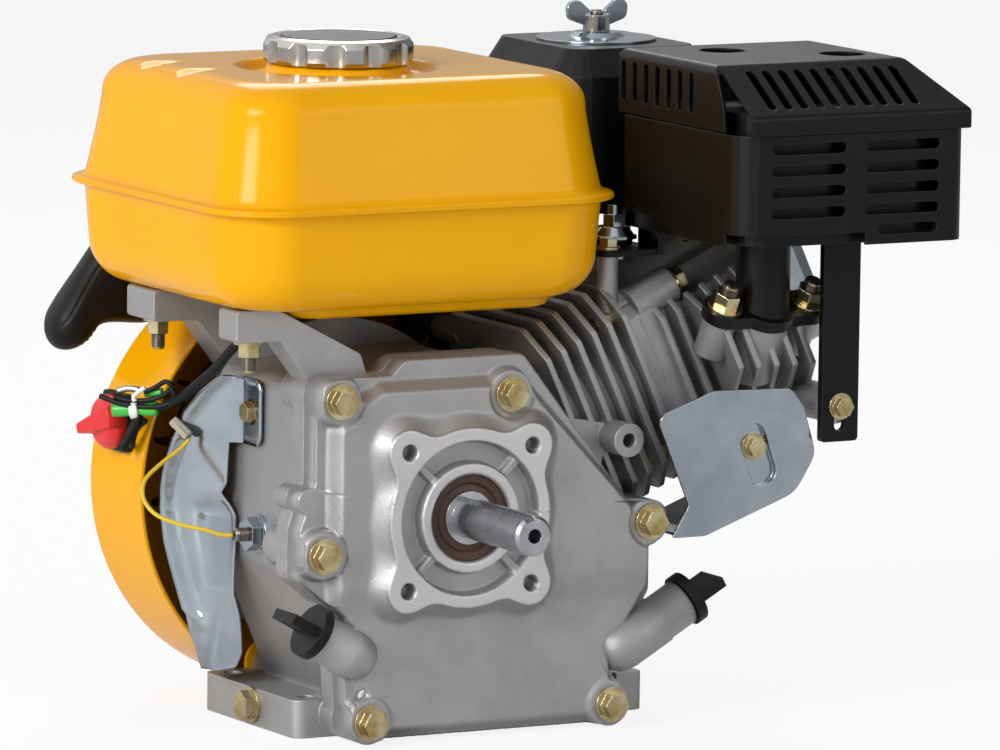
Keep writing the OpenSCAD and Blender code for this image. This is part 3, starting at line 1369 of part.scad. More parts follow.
module wing_nut() {
  color(zinc) place() translate([filter_at.x, filter_at.y, filter_top + 4 + loose_gap]) difference() {
    union() {
      cylinder(r = 6.5, h = 8);
      for (side = [0, 180])
        rotate(side) translate([4, 1.2, 2]) rotate([90, 0, 0]) linear_extrude(2.4)
          polygon(rounded([[0, 0, 1], [0, 8, 2], [6, 13, 3], [13, 13, 4], [12, 4, 4]]));
    }
    translate([0, 0, -over]) cylinder(r = stud_r + run_gap, h = 20);
  }
}

// Throttle control
pivot_r = 3;
module control_plate() {
  color(black) place() difference() {
    union() {
      translate([0, 0, control_z]) linear_extrude(plate_t) polygon(rounded(box_outline(89, 122, 36, 86, 5)));
      translate([119, 36, control_z]) cube([3, 20, 12]);
    }
    for (p = control_posts) translate([p.x, p.y, control_z - over]) cylinder(r = m6_d / 2 + bolt_gap, h = 6);
    translate([throttle_at.x, throttle_at.y, control_z - over]) cylinder(r = pivot_r + fit_gap, h = 6);
  }
}
lever_t = 2.5;
module throttle_lever() {
  z0 = control_z + plate_t + loose_gap;
  color(black) place() translate([throttle_at.x, throttle_at.y, z0]) difference() {
    union() {
      cylinder(r = 9, h = lever_t);
      translate([-4, 0, 0]) cube([8, 52, lever_t]);
      translate([-4, 49, 0]) cube([8, 3, 9]);
    }
    translate([0, 0, -over]) cylinder(r = pivot_r + run_gap, h = 8);
  }
}
module throttle_pivot() {
  z0 = plate_t + lever_t + 2 * loose_gap;
  color(zinc) place() translate([throttle_at.x, throttle_at.y, control_z]) {
    translate([0, 0, -4]) cylinder(r = 5.5, h = 4, $fn = 6);
    cylinder(r = pivot_r, h = 22);
    translate([0, 0, z0]) cylinder(r = 11, h = 1.5);
    translate([0, 0, z0 + 1.5]) cylinder(r1 = 10, r2 = 7, h = 4);
    translate([0, 0, z0 + 5.5]) cylinder(r = 5.8, h = 6, $fn = 6);
  }
}

// Engine switch on the fan cover
module at_switch() {
  translate([0, switch_at.x, switch_at.y]) rotate([0, -90, 0]) children();
}
knob_shaft_r = 4;
module switch_body() {
  face = fan_cover_r - 1;
  color(black) place() at_switch() difference() {
    union() {
      translate([0, 0, face - 11]) cylinder(r = switch_r, h = 12);
      translate([0, 0, face]) linear_extrude(3) polygon(rounded(box_outline(-14, 14, -13, 13, 3)));
    }
    translate([0, 0, face - 8]) cylinder(r = knob_shaft_r + run_gap, h = 20);
  }
}
module switch_knob() {
  face = fan_cover_r + 2 + loose_gap;
  color("crimson") place() at_switch() {
    translate([0, 0, face - 9]) cylinder(r = knob_shaft_r, h = 10);
    translate([0, 0, face]) cylinder(r1 = 13, r2 = 12, h = 8);
    translate([0, 0, face + 8]) linear_extrude(9) polygon(rounded(box_outline(-12, 12, -3.5, 3.5, 2)));
  }
}

// Leads
sleeve_dir = unit([-18, 17, -2]);
sleeve_at = [-100, 127, 41];
module along_sleeve() {
  translate(sleeve_at) rotate([0, acos(sleeve_dir.z), atan2(sleeve_dir.y, sleeve_dir.x)]) children();
}
module black_leads() {
  color(black) place() {
    lead(black_route, 4.5);
    lead(switch_route, lead_d);
  }
}
module yellow_lead() {
  color("gold") place() lead(yellow_route, 2);
}
module lead_sleeve() {
  color("limegreen") place() along_sleeve() cylinder(r = 3.5, h = 22);
}
module lead_boot() {
  color("linen") place() lead(boot_route, 5);
}
module cable_tie() {
  color("white") place() along_sleeve() translate([0, 0, 9]) ring(5, 3.5 + fit_gap, 4);
}

// Oil fittings
module oil_terminal() {
  color(zinc) place() translate([case_side, terminal_at.x, terminal_at.y]) rotate([0, -90, 0]) {
    translate([0, 0, -case_wall]) cylinder(r = terminal_r, h = case_wall);
    cylinder(r = 9, h = 2);
    translate([0, 0, 2]) cylinder(r = 8, h = 6, $fn = 6);
    translate([0, 0, 8]) cylinder(r = 3, h = 6);
  }
}
module drain_plugs() {
  color(brass_tone) place() for (side = [[foot_left, -90], [foot_right, 90]])
    translate([side.x, drain_at.x, drain_at.y]) rotate([0, side.y, 0]) {
      translate([0, 0, 1 - drain_len]) cylinder(r = drain_r, h = drain_len - 1);
      cylinder(r = 8.5, h = 2);
      translate([0, 0, 2]) cylinder(r = 7, h = 5, $fn = 6);
    }
}
module dipstick(i) {
  end = filler_lens[i];
  color(black) place() at_filler(i) {
    translate([0, 0, end - 14]) cylinder(r = filler_bore_r, h = 15);
    translate([0, 0, end + loose_gap]) cylinder(r = 13, h = 5);
    translate([-2.5, -10, end + 4]) cube([5, 20, 16]);
    translate([0, 0, 3 - filler_root]) cylinder(r = 1.5, h = end);
  }
}
module left_dipstick() {
  dipstick(0);
}
module right_dipstick() {
  dipstick(1);
}

crankcase();
side_cover();
cylinder_head();
rocker_cover();
m8_bolts();
m6_bolts();
drain_plugs();
tank_arms();
oil_seals();
main_bearings();
crankshaft();
camshaft();
piston();
flywheel();
cooling_fan();
starter_cup();
fan_cover();
side_shroud();
ignition_coil();
recoil_housing();
starter_reel();
starter_rope();
starter_grip();
spark_plug();
plug_cap();
exhaust_pipe();
stud_nuts();
muffler();
muffler_guard();
guard_hood();
lower_deflector();
tank_lower();
tank_upper();
filler_neck();
fuel_cap();
cap_seal();
carburettor();
float_bowl();
carburettor_spacer();
choke_lever();
fuel_valve_lever();
air_filter_base();
filter_stud();
filter_element();
air_filter_cover();
filter_washer();
wing_nut();
control_plate();
throttle_lever();
throttle_pivot();
switch_body();
switch_knob();
black_leads();
yellow_lead();
lead_boot();
lead_sleeve();
cable_tie();
oil_terminal();
left_dipstick();
right_dipstick();
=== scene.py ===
"""Looks of a small air-cooled gasoline engine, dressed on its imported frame.

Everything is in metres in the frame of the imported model: +Z up, output shaft along -Y, origin between the
base holes. Places on the engine are given in the crank frame, in millimetres, and put into the model's frame
by ``spot``.
"""

from __future__ import annotations

import logging
import math
from dataclasses import dataclass, field
from enum import Enum

import bpy
import numpy as np
from mathutils import Matrix, Vector

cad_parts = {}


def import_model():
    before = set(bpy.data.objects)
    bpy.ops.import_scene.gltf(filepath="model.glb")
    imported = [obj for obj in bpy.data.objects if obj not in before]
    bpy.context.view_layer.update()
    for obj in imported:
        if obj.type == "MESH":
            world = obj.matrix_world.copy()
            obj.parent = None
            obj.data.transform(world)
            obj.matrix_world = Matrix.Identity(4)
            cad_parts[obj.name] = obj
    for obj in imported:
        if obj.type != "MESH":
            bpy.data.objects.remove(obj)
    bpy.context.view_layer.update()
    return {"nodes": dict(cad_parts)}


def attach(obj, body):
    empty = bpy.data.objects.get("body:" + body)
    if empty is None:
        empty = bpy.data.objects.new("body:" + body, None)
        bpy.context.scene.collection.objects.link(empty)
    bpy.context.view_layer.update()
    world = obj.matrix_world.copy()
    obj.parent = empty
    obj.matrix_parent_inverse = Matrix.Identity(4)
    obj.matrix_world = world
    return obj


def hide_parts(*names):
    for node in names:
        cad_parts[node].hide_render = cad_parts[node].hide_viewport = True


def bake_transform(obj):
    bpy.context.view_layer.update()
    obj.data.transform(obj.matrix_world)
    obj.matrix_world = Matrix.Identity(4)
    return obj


LOG = logging.getLogger("engine_looks")
Array = np.ndarray
Pair = tuple[float, float]
Triple = tuple[float, float, float]
Point = Triple
Colour = tuple[float, float, float, float]
Screen = tuple[int, int, int]
Socket = bpy.types.NodeSocket
Thing = bpy.types.Object
CRANK_AT = np.array([-22.0, -89.0, 106.0])
MM = 0.001
FLANGE_Y = CRANK_AT[1] * MM


def spot(point: Point | Array) -> Array:
    """Place or places of the crank frame, in millimetres, to the model's frame in metres."""
    return (np.asarray(point, float) + CRANK_AT) * MM


def tone(red: int, green: int, blue: int) -> Colour:
    """Screen colour from 0 to 255 as linear light.

    Args:
        red: red on screen.
        green: green on screen.
        blue: blue on screen.

    Returns:
        Linear red, green, blue and full alpha.
    """
    screen = np.array([red, green, blue]) / 255
    linear = np.where(screen <= 0.04045, screen / 12.92, ((screen + 0.055) / 1.055) ** 2.4)
    return (float(linear[0]), float(linear[1]), float(linear[2]), 1.0)


def ease(value: Array, low: float, high: float) -> Array:
    """Soft step from 0 at low to 1 at high: the cubic with level ends."""
    share = np.clip((value - low) / (high - low), 0, 1)
    return share * share * (3 - 2 * share)


def unit(ways: Array) -> Array:
    """One direction, or rows of them, each divided by its length."""
    return ways / np.linalg.norm(ways, axis=-1, keepdims=True)


def travelled(line: Array) -> Array:
    """Distance along a line of straight steps, from its first place to each."""
    return np.concatenate([[0], np.cumsum(np.linalg.norm(np.diff(line, axis=0), axis=1))])


def circle(places: int) -> Array:
    """Angles at even steps once round."""
    return np.linspace(0, 2 * math.pi, places, endpoint=False)


class Grain(Enum):
    """Fine structure that a finish shows close up."""

    SAND = "sand_grain"
    TURNED = "turned_marks"
    WEAVE = "braid"


@dataclass(frozen=True)
class Finish:
    """One surface finish.

    Attributes:
        name: name of the material.
        base: main colour on screen, from 0 to 255 like those below.
        shade: second colour, mixed in by the grain's patches; for woven grain it is painted shade between the
            strands.
        rough: roughness where the patches are lowest and highest.
        metallic: share of metal.
        grain: fine structure.
        size: size of the grain in metres.
        depth: height of the grain in metres.
        coat: weight of a clear coat.
        edge_wear_and_highlight: colour on edges, partly worn by rubbing and partly a painted highlight, or
            None for neither.
        edge: radius to which edges look broken, in metres.
        gloss: level of the plain surface reflection.
        faced: colour of the machined flange face, or None where a finish has none.
        slot: name of a material slot, or empty where it is the material's name.
    """

    name: str
    base: Screen
    shade: Screen
    rough: Pair
    metallic: float = 0.0
    grain: Grain = Grain.SAND
    size: float = 0.001
    depth: float = 0.0001
    coat: float = 0.0
    edge_wear_and_highlight: Screen | None = None
    edge: float = 0.0006
    gloss: float = 0.5
    faced: Screen | None = None
    slot: str = ""


CAST_ALLOY = Finish("cast_alloy", (170, 170, 171), (160, 160, 161), (0.44, 0.56), 0.8, size=0.0009,
                    depth=0.0002, edge_wear_and_highlight=(204, 204, 205), edge=0.0011, faced=(204, 204, 206))
GALVANISED = Finish("galvanised", (172, 180, 188), (144, 153, 163), (0.11, 0.2), 1.0, size=0.0016,
                    depth=0.00002, edge_wear_and_highlight=(226, 230, 232))
PLATED = Finish("plated_bolts", (204, 194, 158), (164, 140, 88), (0.16, 0.3), 0.95, size=0.0003,
                depth=0.00002, edge_wear_and_highlight=(232, 226, 206), edge=0.0005)
STUD_STEEL = Finish("stud_steel", (122, 114, 104), (72, 66, 60), (0.26, 0.4), 0.9, size=0.0004,
                    depth=0.00002, slot="plated_bolts")
OIL_SEAL = Finish("oil_seal", (72, 44, 32), (50, 32, 26), (0.4, 0.6), size=0.0012, depth=0.00004)
MACHINED = Finish("machined_steel", (190, 192, 196), (156, 158, 164), (0.2, 0.38), 0.95, Grain.TURNED,
                  0.0009, 0.00003, edge=0.0004)
YELLOW_PAINT = Finish("yellow_paint", (240, 172, 4), (234, 162, 2), (0.12, 0.2), size=0.006,
                      depth=0.00003, edge=0.0012, gloss=0.14)
BLACK_PAINT = Finish("black_paint", (14, 14, 14), (9, 9, 9), (0.24, 0.4), size=0.0012, depth=0.00005,
                     edge_wear_and_highlight=(52, 52, 53), edge=0.0008, gloss=0.2)
BLACK_PLASTIC = Finish("black_plastic", (15, 15, 16), (10, 10, 11), (0.34, 0.5), size=0.0009,
                       depth=0.00006, edge_wear_and_highlight=(42, 42, 43), edge=0.0008, gloss=0.24)
BLACK_RUBBER = Finish("black_rubber", (16, 16, 17), (10, 10, 10), (0.45, 0.6), size=0.0014, depth=0.00005,
                      gloss=0.24)
CERAMIC = Finish("white_ceramic", (236, 234, 228), (222, 219, 210), (0.14, 0.24), size=0.004,
                 depth=0.00001, coat=0.4)
CHROME = Finish("chrome", (214, 213, 210), (196, 194, 190), (0.08, 0.2), 1.0, size=0.004, depth=0.00003)
RED_PLASTIC = Finish("red_plastic", (226, 44, 46), (212, 36, 38), (0.26, 0.38), size=0.0012,
                     depth=0.00003)
YELLOW_WIRE = Finish("yellow_wire", (226, 196, 44), (206, 172, 30), (0.36, 0.5), size=0.002,
                     depth=0.00002, slot="yellow_lead")
GREEN_SLEEVE = Finish("green_sleeve", (70, 190, 70), (44, 158, 52), (0.3, 0.46), size=0.003,
                      depth=0.00004)
# The braids' shade colours are painted shade in the gaps between the strands.
BRAID = Finish("white_braid", (226, 222, 206), (182, 174, 152), (0.7, 0.85), grain=Grain.WEAVE, size=0.1,
               depth=0.0004)
ROPE = Finish("rope_braid", (206, 202, 190), (120, 116, 108), (0.7, 0.85), grain=Grain.WEAVE, size=0.1,
              depth=0.0005, slot="white_braid")
WHITE_PLASTIC = Finish("white_plastic", (236, 236, 232), (220, 220, 214), (0.32, 0.46), size=0.002,
                       depth=0.00002)
FILTER_MEDIA = Finish("filter_media", (206, 188, 140), (170, 150, 104), (0.8, 0.92), size=0.0018,
                      depth=0.0004)
CAP_TOP = Finish("cap_top", (64, 64, 64), (46, 46, 46), (0.36, 0.5), size=0.0012, depth=0.00012,
                 slot="black_rubber")


class Tree:
    """Short hand for a node tree: adds nodes and links."""

    def __init__(self, tree: bpy.types.NodeTree) -> None:
        """Wraps the node tree that nodes are added to."""
        self.tree = tree

    @classmethod
    def fresh(cls, owner: bpy.types.Material | bpy.types.World) -> Tree:
        """Empties the node tree of a new material or world.

        Args:
            owner: the material or world.

        Returns:
            Its tree.
        """
        owner.use_nodes = True
        owner.node_tree.nodes.clear()
        return cls(owner.node_tree)

    def add(self, kind: str, values: dict[str, object] | None = None, **settings: object) -> bpy.types.Node:
        """Adds a node.

        Args:
            kind: node class without its ShaderNode prefix.
            values: input name or place to a value, or to an output socket that is linked in.
            settings: attributes of the node.

        Returns:
            The new node.
        """
        node = self.tree.nodes.new("ShaderNode" + kind)
        for key, value in settings.items():
            setattr(node, key, value)
        for key, value in (values or {}).items():
            socket = node.inputs[key]
            if isinstance(value, Socket):
                self.tree.links.new(value, socket)
            else:
                socket.default_value = value
        return node

    def maths(self, operation: str, *values: object) -> Socket:
        """Result of one arithmetic step on numbers or sockets."""
        return self.add("Math", dict(enumerate(values)), operation=operation).outputs[0]

    def spread(self, value: object, low: float, high: float, to_low: float, to_high: float) -> Socket:
        """Carries a range of values over to another, and stops at its ends."""
        return self.add("MapRange", {0: value, 1: low, 2: high, 3: to_low, 4: to_high}).outputs[0]

    def blend(self, share: object, first: object, second: object) -> Socket:
        """Mixes two colours or sockets by a share of the second."""
        return self.add("Mix", {0: share, 6: first, 7: second}, data_type="RGBA").outputs[2]

    def dot(self, first: object, second: object) -> Socket:
        """Dot product of two vectors or sockets."""
        return self.add("VectorMath", {0: first, 1: second}, operation="DOT_PRODUCT").outputs[1]

    def noise(self, vector: Socket, scale: float, detail: float, rough: float) -> Socket:
        """Cloud of noise with finer noise on it."""
        values = {"Vector": vector, "Scale": scale, "Detail": detail, "Roughness": rough}
        return self.add("TexNoise", values).outputs[0]


class GrainGroups:
    """Shader groups of the fine structures, each with Vector and Size in, and Height and a patch share out;
    the braid's patch share is painted shade between its strands.
    """

    SOCKETS = (("Vector", "INPUT", "Vector"), ("Size", "INPUT", "Float"),
               ("Height", "OUTPUT", "Float"), ("PatchAndShade", "OUTPUT", "Float"))

    def __init__(self) -> None:
        """Builds one group for each kind of grain."""
        self.groups: dict[Grain, bpy.types.NodeTree] = {}
        makers = {Grain.SAND: self.sand, Grain.TURNED: self.turned, Grain.WEAVE: self.weave}
        for grain, maker in makers.items():
            group = bpy.data.node_groups.new(grain.value, "ShaderNodeTree")
            for name, way, kind in self.SOCKETS:
                group.interface.new_socket(name, in_out=way, socket_type="NodeSocket" + kind)
            tree = Tree(group)
            start = group.nodes.new("NodeGroupInput")
            end = group.nodes.new("NodeGroupOutput")
            scaled = {0: start.outputs["Vector"], "Scale": tree.maths("DIVIDE", 1.0, start.outputs["Size"])}
            height, patch = maker(tree, tree.add("VectorMath", scaled, operation="SCALE").outputs[0])
            group.links.new(height, end.inputs["Height"])
            group.links.new(patch, end.inputs["PatchAndShade"])
            self.groups[grain] = group

    @staticmethod
    def patches(tree: Tree, near: Socket, scale: float) -> Socket:
        """Soft cloud of patches, from 0 to 1, with a number of them to the size of the grain."""
        return tree.spread(tree.noise(near, scale, 4.0, 0.6), 0.34, 0.66, 0.0, 1.0)

    def sand(self, tree: Tree, near: Socket) -> tuple[Socket, Socket]:
        """Irregular grain of one size with finer grain on it, and soft patches 35 times as wide."""
        return tree.noise(near, 1.0, 5.0, 0.62), self.patches(tree, near, 0.0286)

    def turned(self, tree: Tree, near: Socket) -> tuple[Socket, Socket]:
        """Fine rings round the shaft, from a noise that changes only along Y, and soft patches."""
        line = tree.add("CombineXYZ", {1: tree.add("SeparateXYZ", {0: near}).outputs[1]}).outputs[0]
        return tree.noise(line, 1.0, 3.0, 0.7), self.patches(tree, near, 0.054)

    @staticmethod
    def weave(tree: Tree, near: Socket) -> tuple[Socket, Socket]:
        """Two crossing sets of strands along a tube's own map: the higher of two diagonal waves.

        Args:
            tree: the tree to add to.
            near: map places in sizes of the grain.

        Returns:
            Height of the strands, and how deep they lie, which the finish paints as shade between the
            strands.
        """
        waves = [tree.maths("SINE", tree.dot(near, way)) for way in ((2.5, 16.0, 0.0), (2.5, -16.0, 0.0))]
        strands = tree.spread(tree.maths("MAXIMUM", *waves), -0.4, 1.0, 0.0, 1.0)
        # The depth between the strands becomes painted shade in the finish's colour.
        return strands, tree.maths("SUBTRACT", 1.0, strands)


class Finishes:
    """Materials, one for each finish, built when first asked for."""

    def __init__(self) -> None:
        """Starts with the grain groups and no materials."""
        self.grains = GrainGroups()
        self.made: dict[str, bpy.types.Material] = {}

    def get(self, finish: Finish) -> bpy.types.Material:
        """The material of a finish.

        Args:
            finish: what it should look like.

        Returns:
            The material, made on the first call.
        """
        if finish.name not in self.made:
            self.made[finish.name] = self.build(finish)
        return self.made[finish.name]

    def build(self, finish: Finish) -> bpy.types.Material:
        """Builds a material: patches set colour and roughness (for the braid, painted shade between strands),
        grain the bump; edges look broken and lighten, partly as rubbing wear and partly as a painted
        highlight.

        Args:
            finish: what it should look like.

        Returns:
            The new material.
        """
        material = bpy.data.materials.new(finish.name)
        tree = Tree.fresh(material)
        coordinate = tree.add("TexCoord").outputs["UV" if finish.grain is Grain.WEAVE else "Object"]
        group = self.grains.groups[finish.grain]
        grain = tree.add("Group", {"Vector": coordinate, "Size": finish.size}, node_tree=group)
        round_edge = tree.add("Bevel", {"Radius": finish.edge}, samples=4).outputs[0]
        bump = tree.add("Bump", {"Strength": 1.0, "Distance": finish.depth, "Normal": round_edge,
                                 "Height": grain.outputs["Height"]})
        # Base and shade colours mixed by the grain's patches; for the braids this paints shade between the
        # strands.
        colour = tree.blend(grain.outputs["PatchAndShade"], tone(*finish.base), tone(*finish.shade))
        # Edges lighten towards the edge colour: partly rubbing wear, partly a painted highlight along the
        # edges.
        if finish.edge_wear_and_highlight is not None:
            flat = tree.add("NewGeometry").outputs["Normal"]
            turn = tree.dot(round_edge, flat)
            wear_and_highlight_mask = tree.spread(turn, 0.995, 0.86, 0.0, 0.8)
            wear_and_highlight_mask = tree.maths("MULTIPLY", wear_and_highlight_mask, tree.spread(grain.outputs["Height"], 0.35, 0.6, 0.5, 1.0))
            colour = tree.blend(wear_and_highlight_mask, colour, tone(*finish.edge_wear_and_highlight))
        rough = tree.spread(grain.outputs["PatchAndShade"], 0.0, 1.0, *finish.rough)
        if finish.faced is not None:
            across = tree.add("SeparateXYZ", {0: coordinate}).outputs[1]
            milled = tree.spread(across, FLANGE_Y + 0.0004, FLANGE_Y + 0.0001, 0.0, 1.0)
            colour = tree.blend(milled, colour, tone(*finish.faced))
            rough = tree.maths("SUBTRACT", rough, tree.maths("MULTIPLY", milled, 0.14))
        shader = tree.add("BsdfPrincipled", {
            "Base Color": colour,
            "Roughness": rough,
            "Metallic": finish.metallic,
            "Specular IOR Level": finish.gloss,
            "Coat Weight": finish.coat,
            "Coat Roughness": 0.08,
            "Normal": bump.outputs[0],
        })
        tree.add("OutputMaterial", {"Surface": shader.outputs[0]})
        return material


def surface(name: str, points: Array, around: bool = True, caps: bool = False,
            strip: Array | None = None) -> Thing:
    """Mesh of a grid of points: each grid cell is one face.

    Args:
        name: name of the piece.
        points: rows by columns by 3, in metres.
        around: whether the last column joins the first.
        caps: whether the first and last rows are closed by a fan of triangles to their middles.
        strip: map place along the rows in metres, for finishes that follow the piece's own map.

    Returns:
        The new object, at the origin.
    """
    rows, columns = points.shape[:2]
    index = np.arange(rows * columns).reshape(rows, columns)
    right = np.roll(index, -1, axis=1) if around else index[:, 1:]
    left = index if around else index[:, :-1]
    faces = np.stack([left[:-1], right[:-1], right[1:], left[1:]], axis=-1).reshape(-1, 4).tolist()
    places = points.reshape(-1, 3)
    if caps:
        places = np.vstack([places, points[0].mean(0), points[-1].mean(0)])
        faces += np.stack([right[0], left[0], np.full(left.shape[1], len(places) - 2)], axis=-1).tolist()
        faces += np.stack([left[-1], right[-1], np.full(left.shape[1], len(places) - 1)], axis=-1).tolist()
    mesh = bpy.data.meshes.new(name)
    mesh.from_pydata(places.tolist(), [], faces)
    mesh.polygons.foreach_set("use_smooth", np.ones(len(mesh.polygons), bool))
    if strip is not None:
        lanes = np.broadcast_arrays(strip[:, None], np.linspace(0, 1, columns)[None, :])
        lanes = np.stack(lanes, axis=-1).reshape(-1, 2)
        lanes = np.vstack([lanes, np.zeros((len(places) - len(lanes), 2))])
        corners = np.empty(len(mesh.loops), np.int32)
        mesh.loops.foreach_get("vertex_index", corners)
        mesh.uv_layers.new(name="lane").uv.foreach_set("vector", lanes[corners].astype(np.float32).ravel())
    mesh.update()
    piece = bpy.data.objects.new(name, mesh)
    bpy.context.scene.collection.objects.link(piece)
    return piece


def smooth_route(route: Array, steps: int) -> Array:
    """Catmull-Rom line through a route's points: each span is the cubic with the slopes of its neighbours.

    Args:
        route: points to pass through.
        steps: places on each span.

    Returns:
        Places along the line.
    """
    ends = np.vstack([2 * route[0] - route[1], route, 2 * route[-1] - route[-2]])
    share = np.linspace(0, 1, steps, endpoint=False)[None, :, None]
    a, b, c, d = (ends[k:len(ends) - 3 + k, None, :] for k in range(4))
    bend = (2 * a - 5 * b + 4 * c - d) * share**2 + (3 * b - a - 3 * c + d) * share**3
    spans = 0.5 * (2 * b + (c - a) * share + bend)
    return np.vstack([spans.reshape(-1, 3), route[-1]])


def tube(name: str, line: Array, radius: Array | float, sides: int = 14) -> Thing:
    """Round tube along a line: a circle square to the line's own direction at each place.

    Args:
        name: name of the piece.
        line: places along the middle, in metres.
        radius: radius at each place, or one for all, in metres.
        sides: places round the tube.

    Returns:
        The new object, closed at both ends.
    """
    ahead = unit(np.gradient(line, axis=0))
    across = unit(np.cross(ahead, np.array([0.12, 0.24, 0.96])))
    upward = np.cross(across, ahead)
    turn = circle(sides)[None, :, None]
    size = np.broadcast_to(np.asarray(radius, float), len(line))[:, None, None]
    ring = np.cos(turn) * across[:, None, :] - np.sin(turn) * upward[:, None, :]
    return surface(name, line[:, None, :] + size * ring, caps=True, strip=travelled(line))


def thicken(sheet: Thing, gauge: float) -> Thing:
    """Gives an open sheet its thickness, behind its faces.

    Args:
        sheet: the sheet.
        gauge: its thickness in metres.

    Returns:
        The same object.
    """
    wall = sheet.modifiers.new("gauge", "SOLIDIFY")
    wall.thickness, wall.offset = gauge, -1.0
    return sheet


@dataclass
class Piece:
    """A new piece and what it does on the engine.

    Attributes:
        thing: the object.
        body: body that it moves with, or empty where it is attached to none.
        finish: its finish.
        stands_for: nodes that it hides.
    """

    thing: Thing
    body: str
    finish: Finish
    stands_for: tuple[str, ...] = ()

    @property
    def slot(self) -> str:
        """Name of a material slot: the one that the finish gives, or the finish's name."""
        return self.finish.slot or self.finish.name


@dataclass
class Threads:
    """Cut threads on the bare ends of studs.

    Attributes:
        pitch: distance between turns in metres.
        depth: depth of the cut in metres.
        columns: places round a stud.
    """

    pitch: float = 0.001
    depth: float = 0.00036
    columns: int = 24

    def end(self, name: str, base: Array, axis: Array, radius: float, length: float) -> Thing:
        """Threaded end: the radius is a triangle wave of place along the axis less the turn round it.

        Args:
            name: name of the piece.
            base: middle of the thread's start.
            axis: direction of the stud's tip.
            radius: radius over the crests.
            length: length of the thread.

        Returns:
            The new object.
        """
        rows = int(length / self.pitch * 6) + 1
        along = np.linspace(0, length, rows)
        turn = np.linspace(0, 1, self.columns, endpoint=False)
        phase = (along[:, None] / self.pitch - turn[None, :]) % 1
        cut = radius - self.depth * (1 - np.abs(2 * phase - 1))
        cut *= np.clip(0.8 + 0.2 * (length - along[:, None]) / (1.5 * self.pitch), 0.8, 1)
        axis = unit(axis)
        across = unit(np.cross(axis, [0.31, 0.2, 0.93] if abs(axis[2]) < 0.9 else [1.0, 0.1, 0.0]))
        upward = np.cross(axis, across)
        angle = 2 * math.pi * turn
        ring = np.cos(angle)[:, None] * across + np.sin(angle)[:, None] * upward
        return surface(name, base + along[:, None, None] * axis + cut[:, :, None] * ring[None], caps=True)

    def build(self) -> list[Piece]:
        """Threads on the tank studs, exhaust studs, filter stud and oil level terminal.

        Returns:
            The pieces.
        """
        tilt = math.radians(30)
        out = np.array([0.0, -math.sin(tilt), math.cos(tilt)])
        ends = [(f"tank_stud_{k}", spot((-98, y, 76.4)), np.array([0.0, 0, -1]), 0.0034, 0.0076)
                for k, y in enumerate((38, 131))]
        ends += [(f"exhaust_stud_{k}", spot((163 + x, 13, 86)) + 0.0146 * out, out, 0.0044, 0.0048)
                 for k, x in enumerate((-22.5, 22.5))]
        ends += [("filter_stud", spot((142, 140, 218.2)), np.array([0.0, 0, 1]), 0.0034, 0.0022)]
        ends += [("terminal_stud", spot((-80, 74, -13)), np.array([-1.0, 0, 0]), 0.0034, 0.0061)]
        return [Piece(self.end(f"thread_{name}", *rest), "engine", STUD_STEEL)
                for name, *rest in ends]


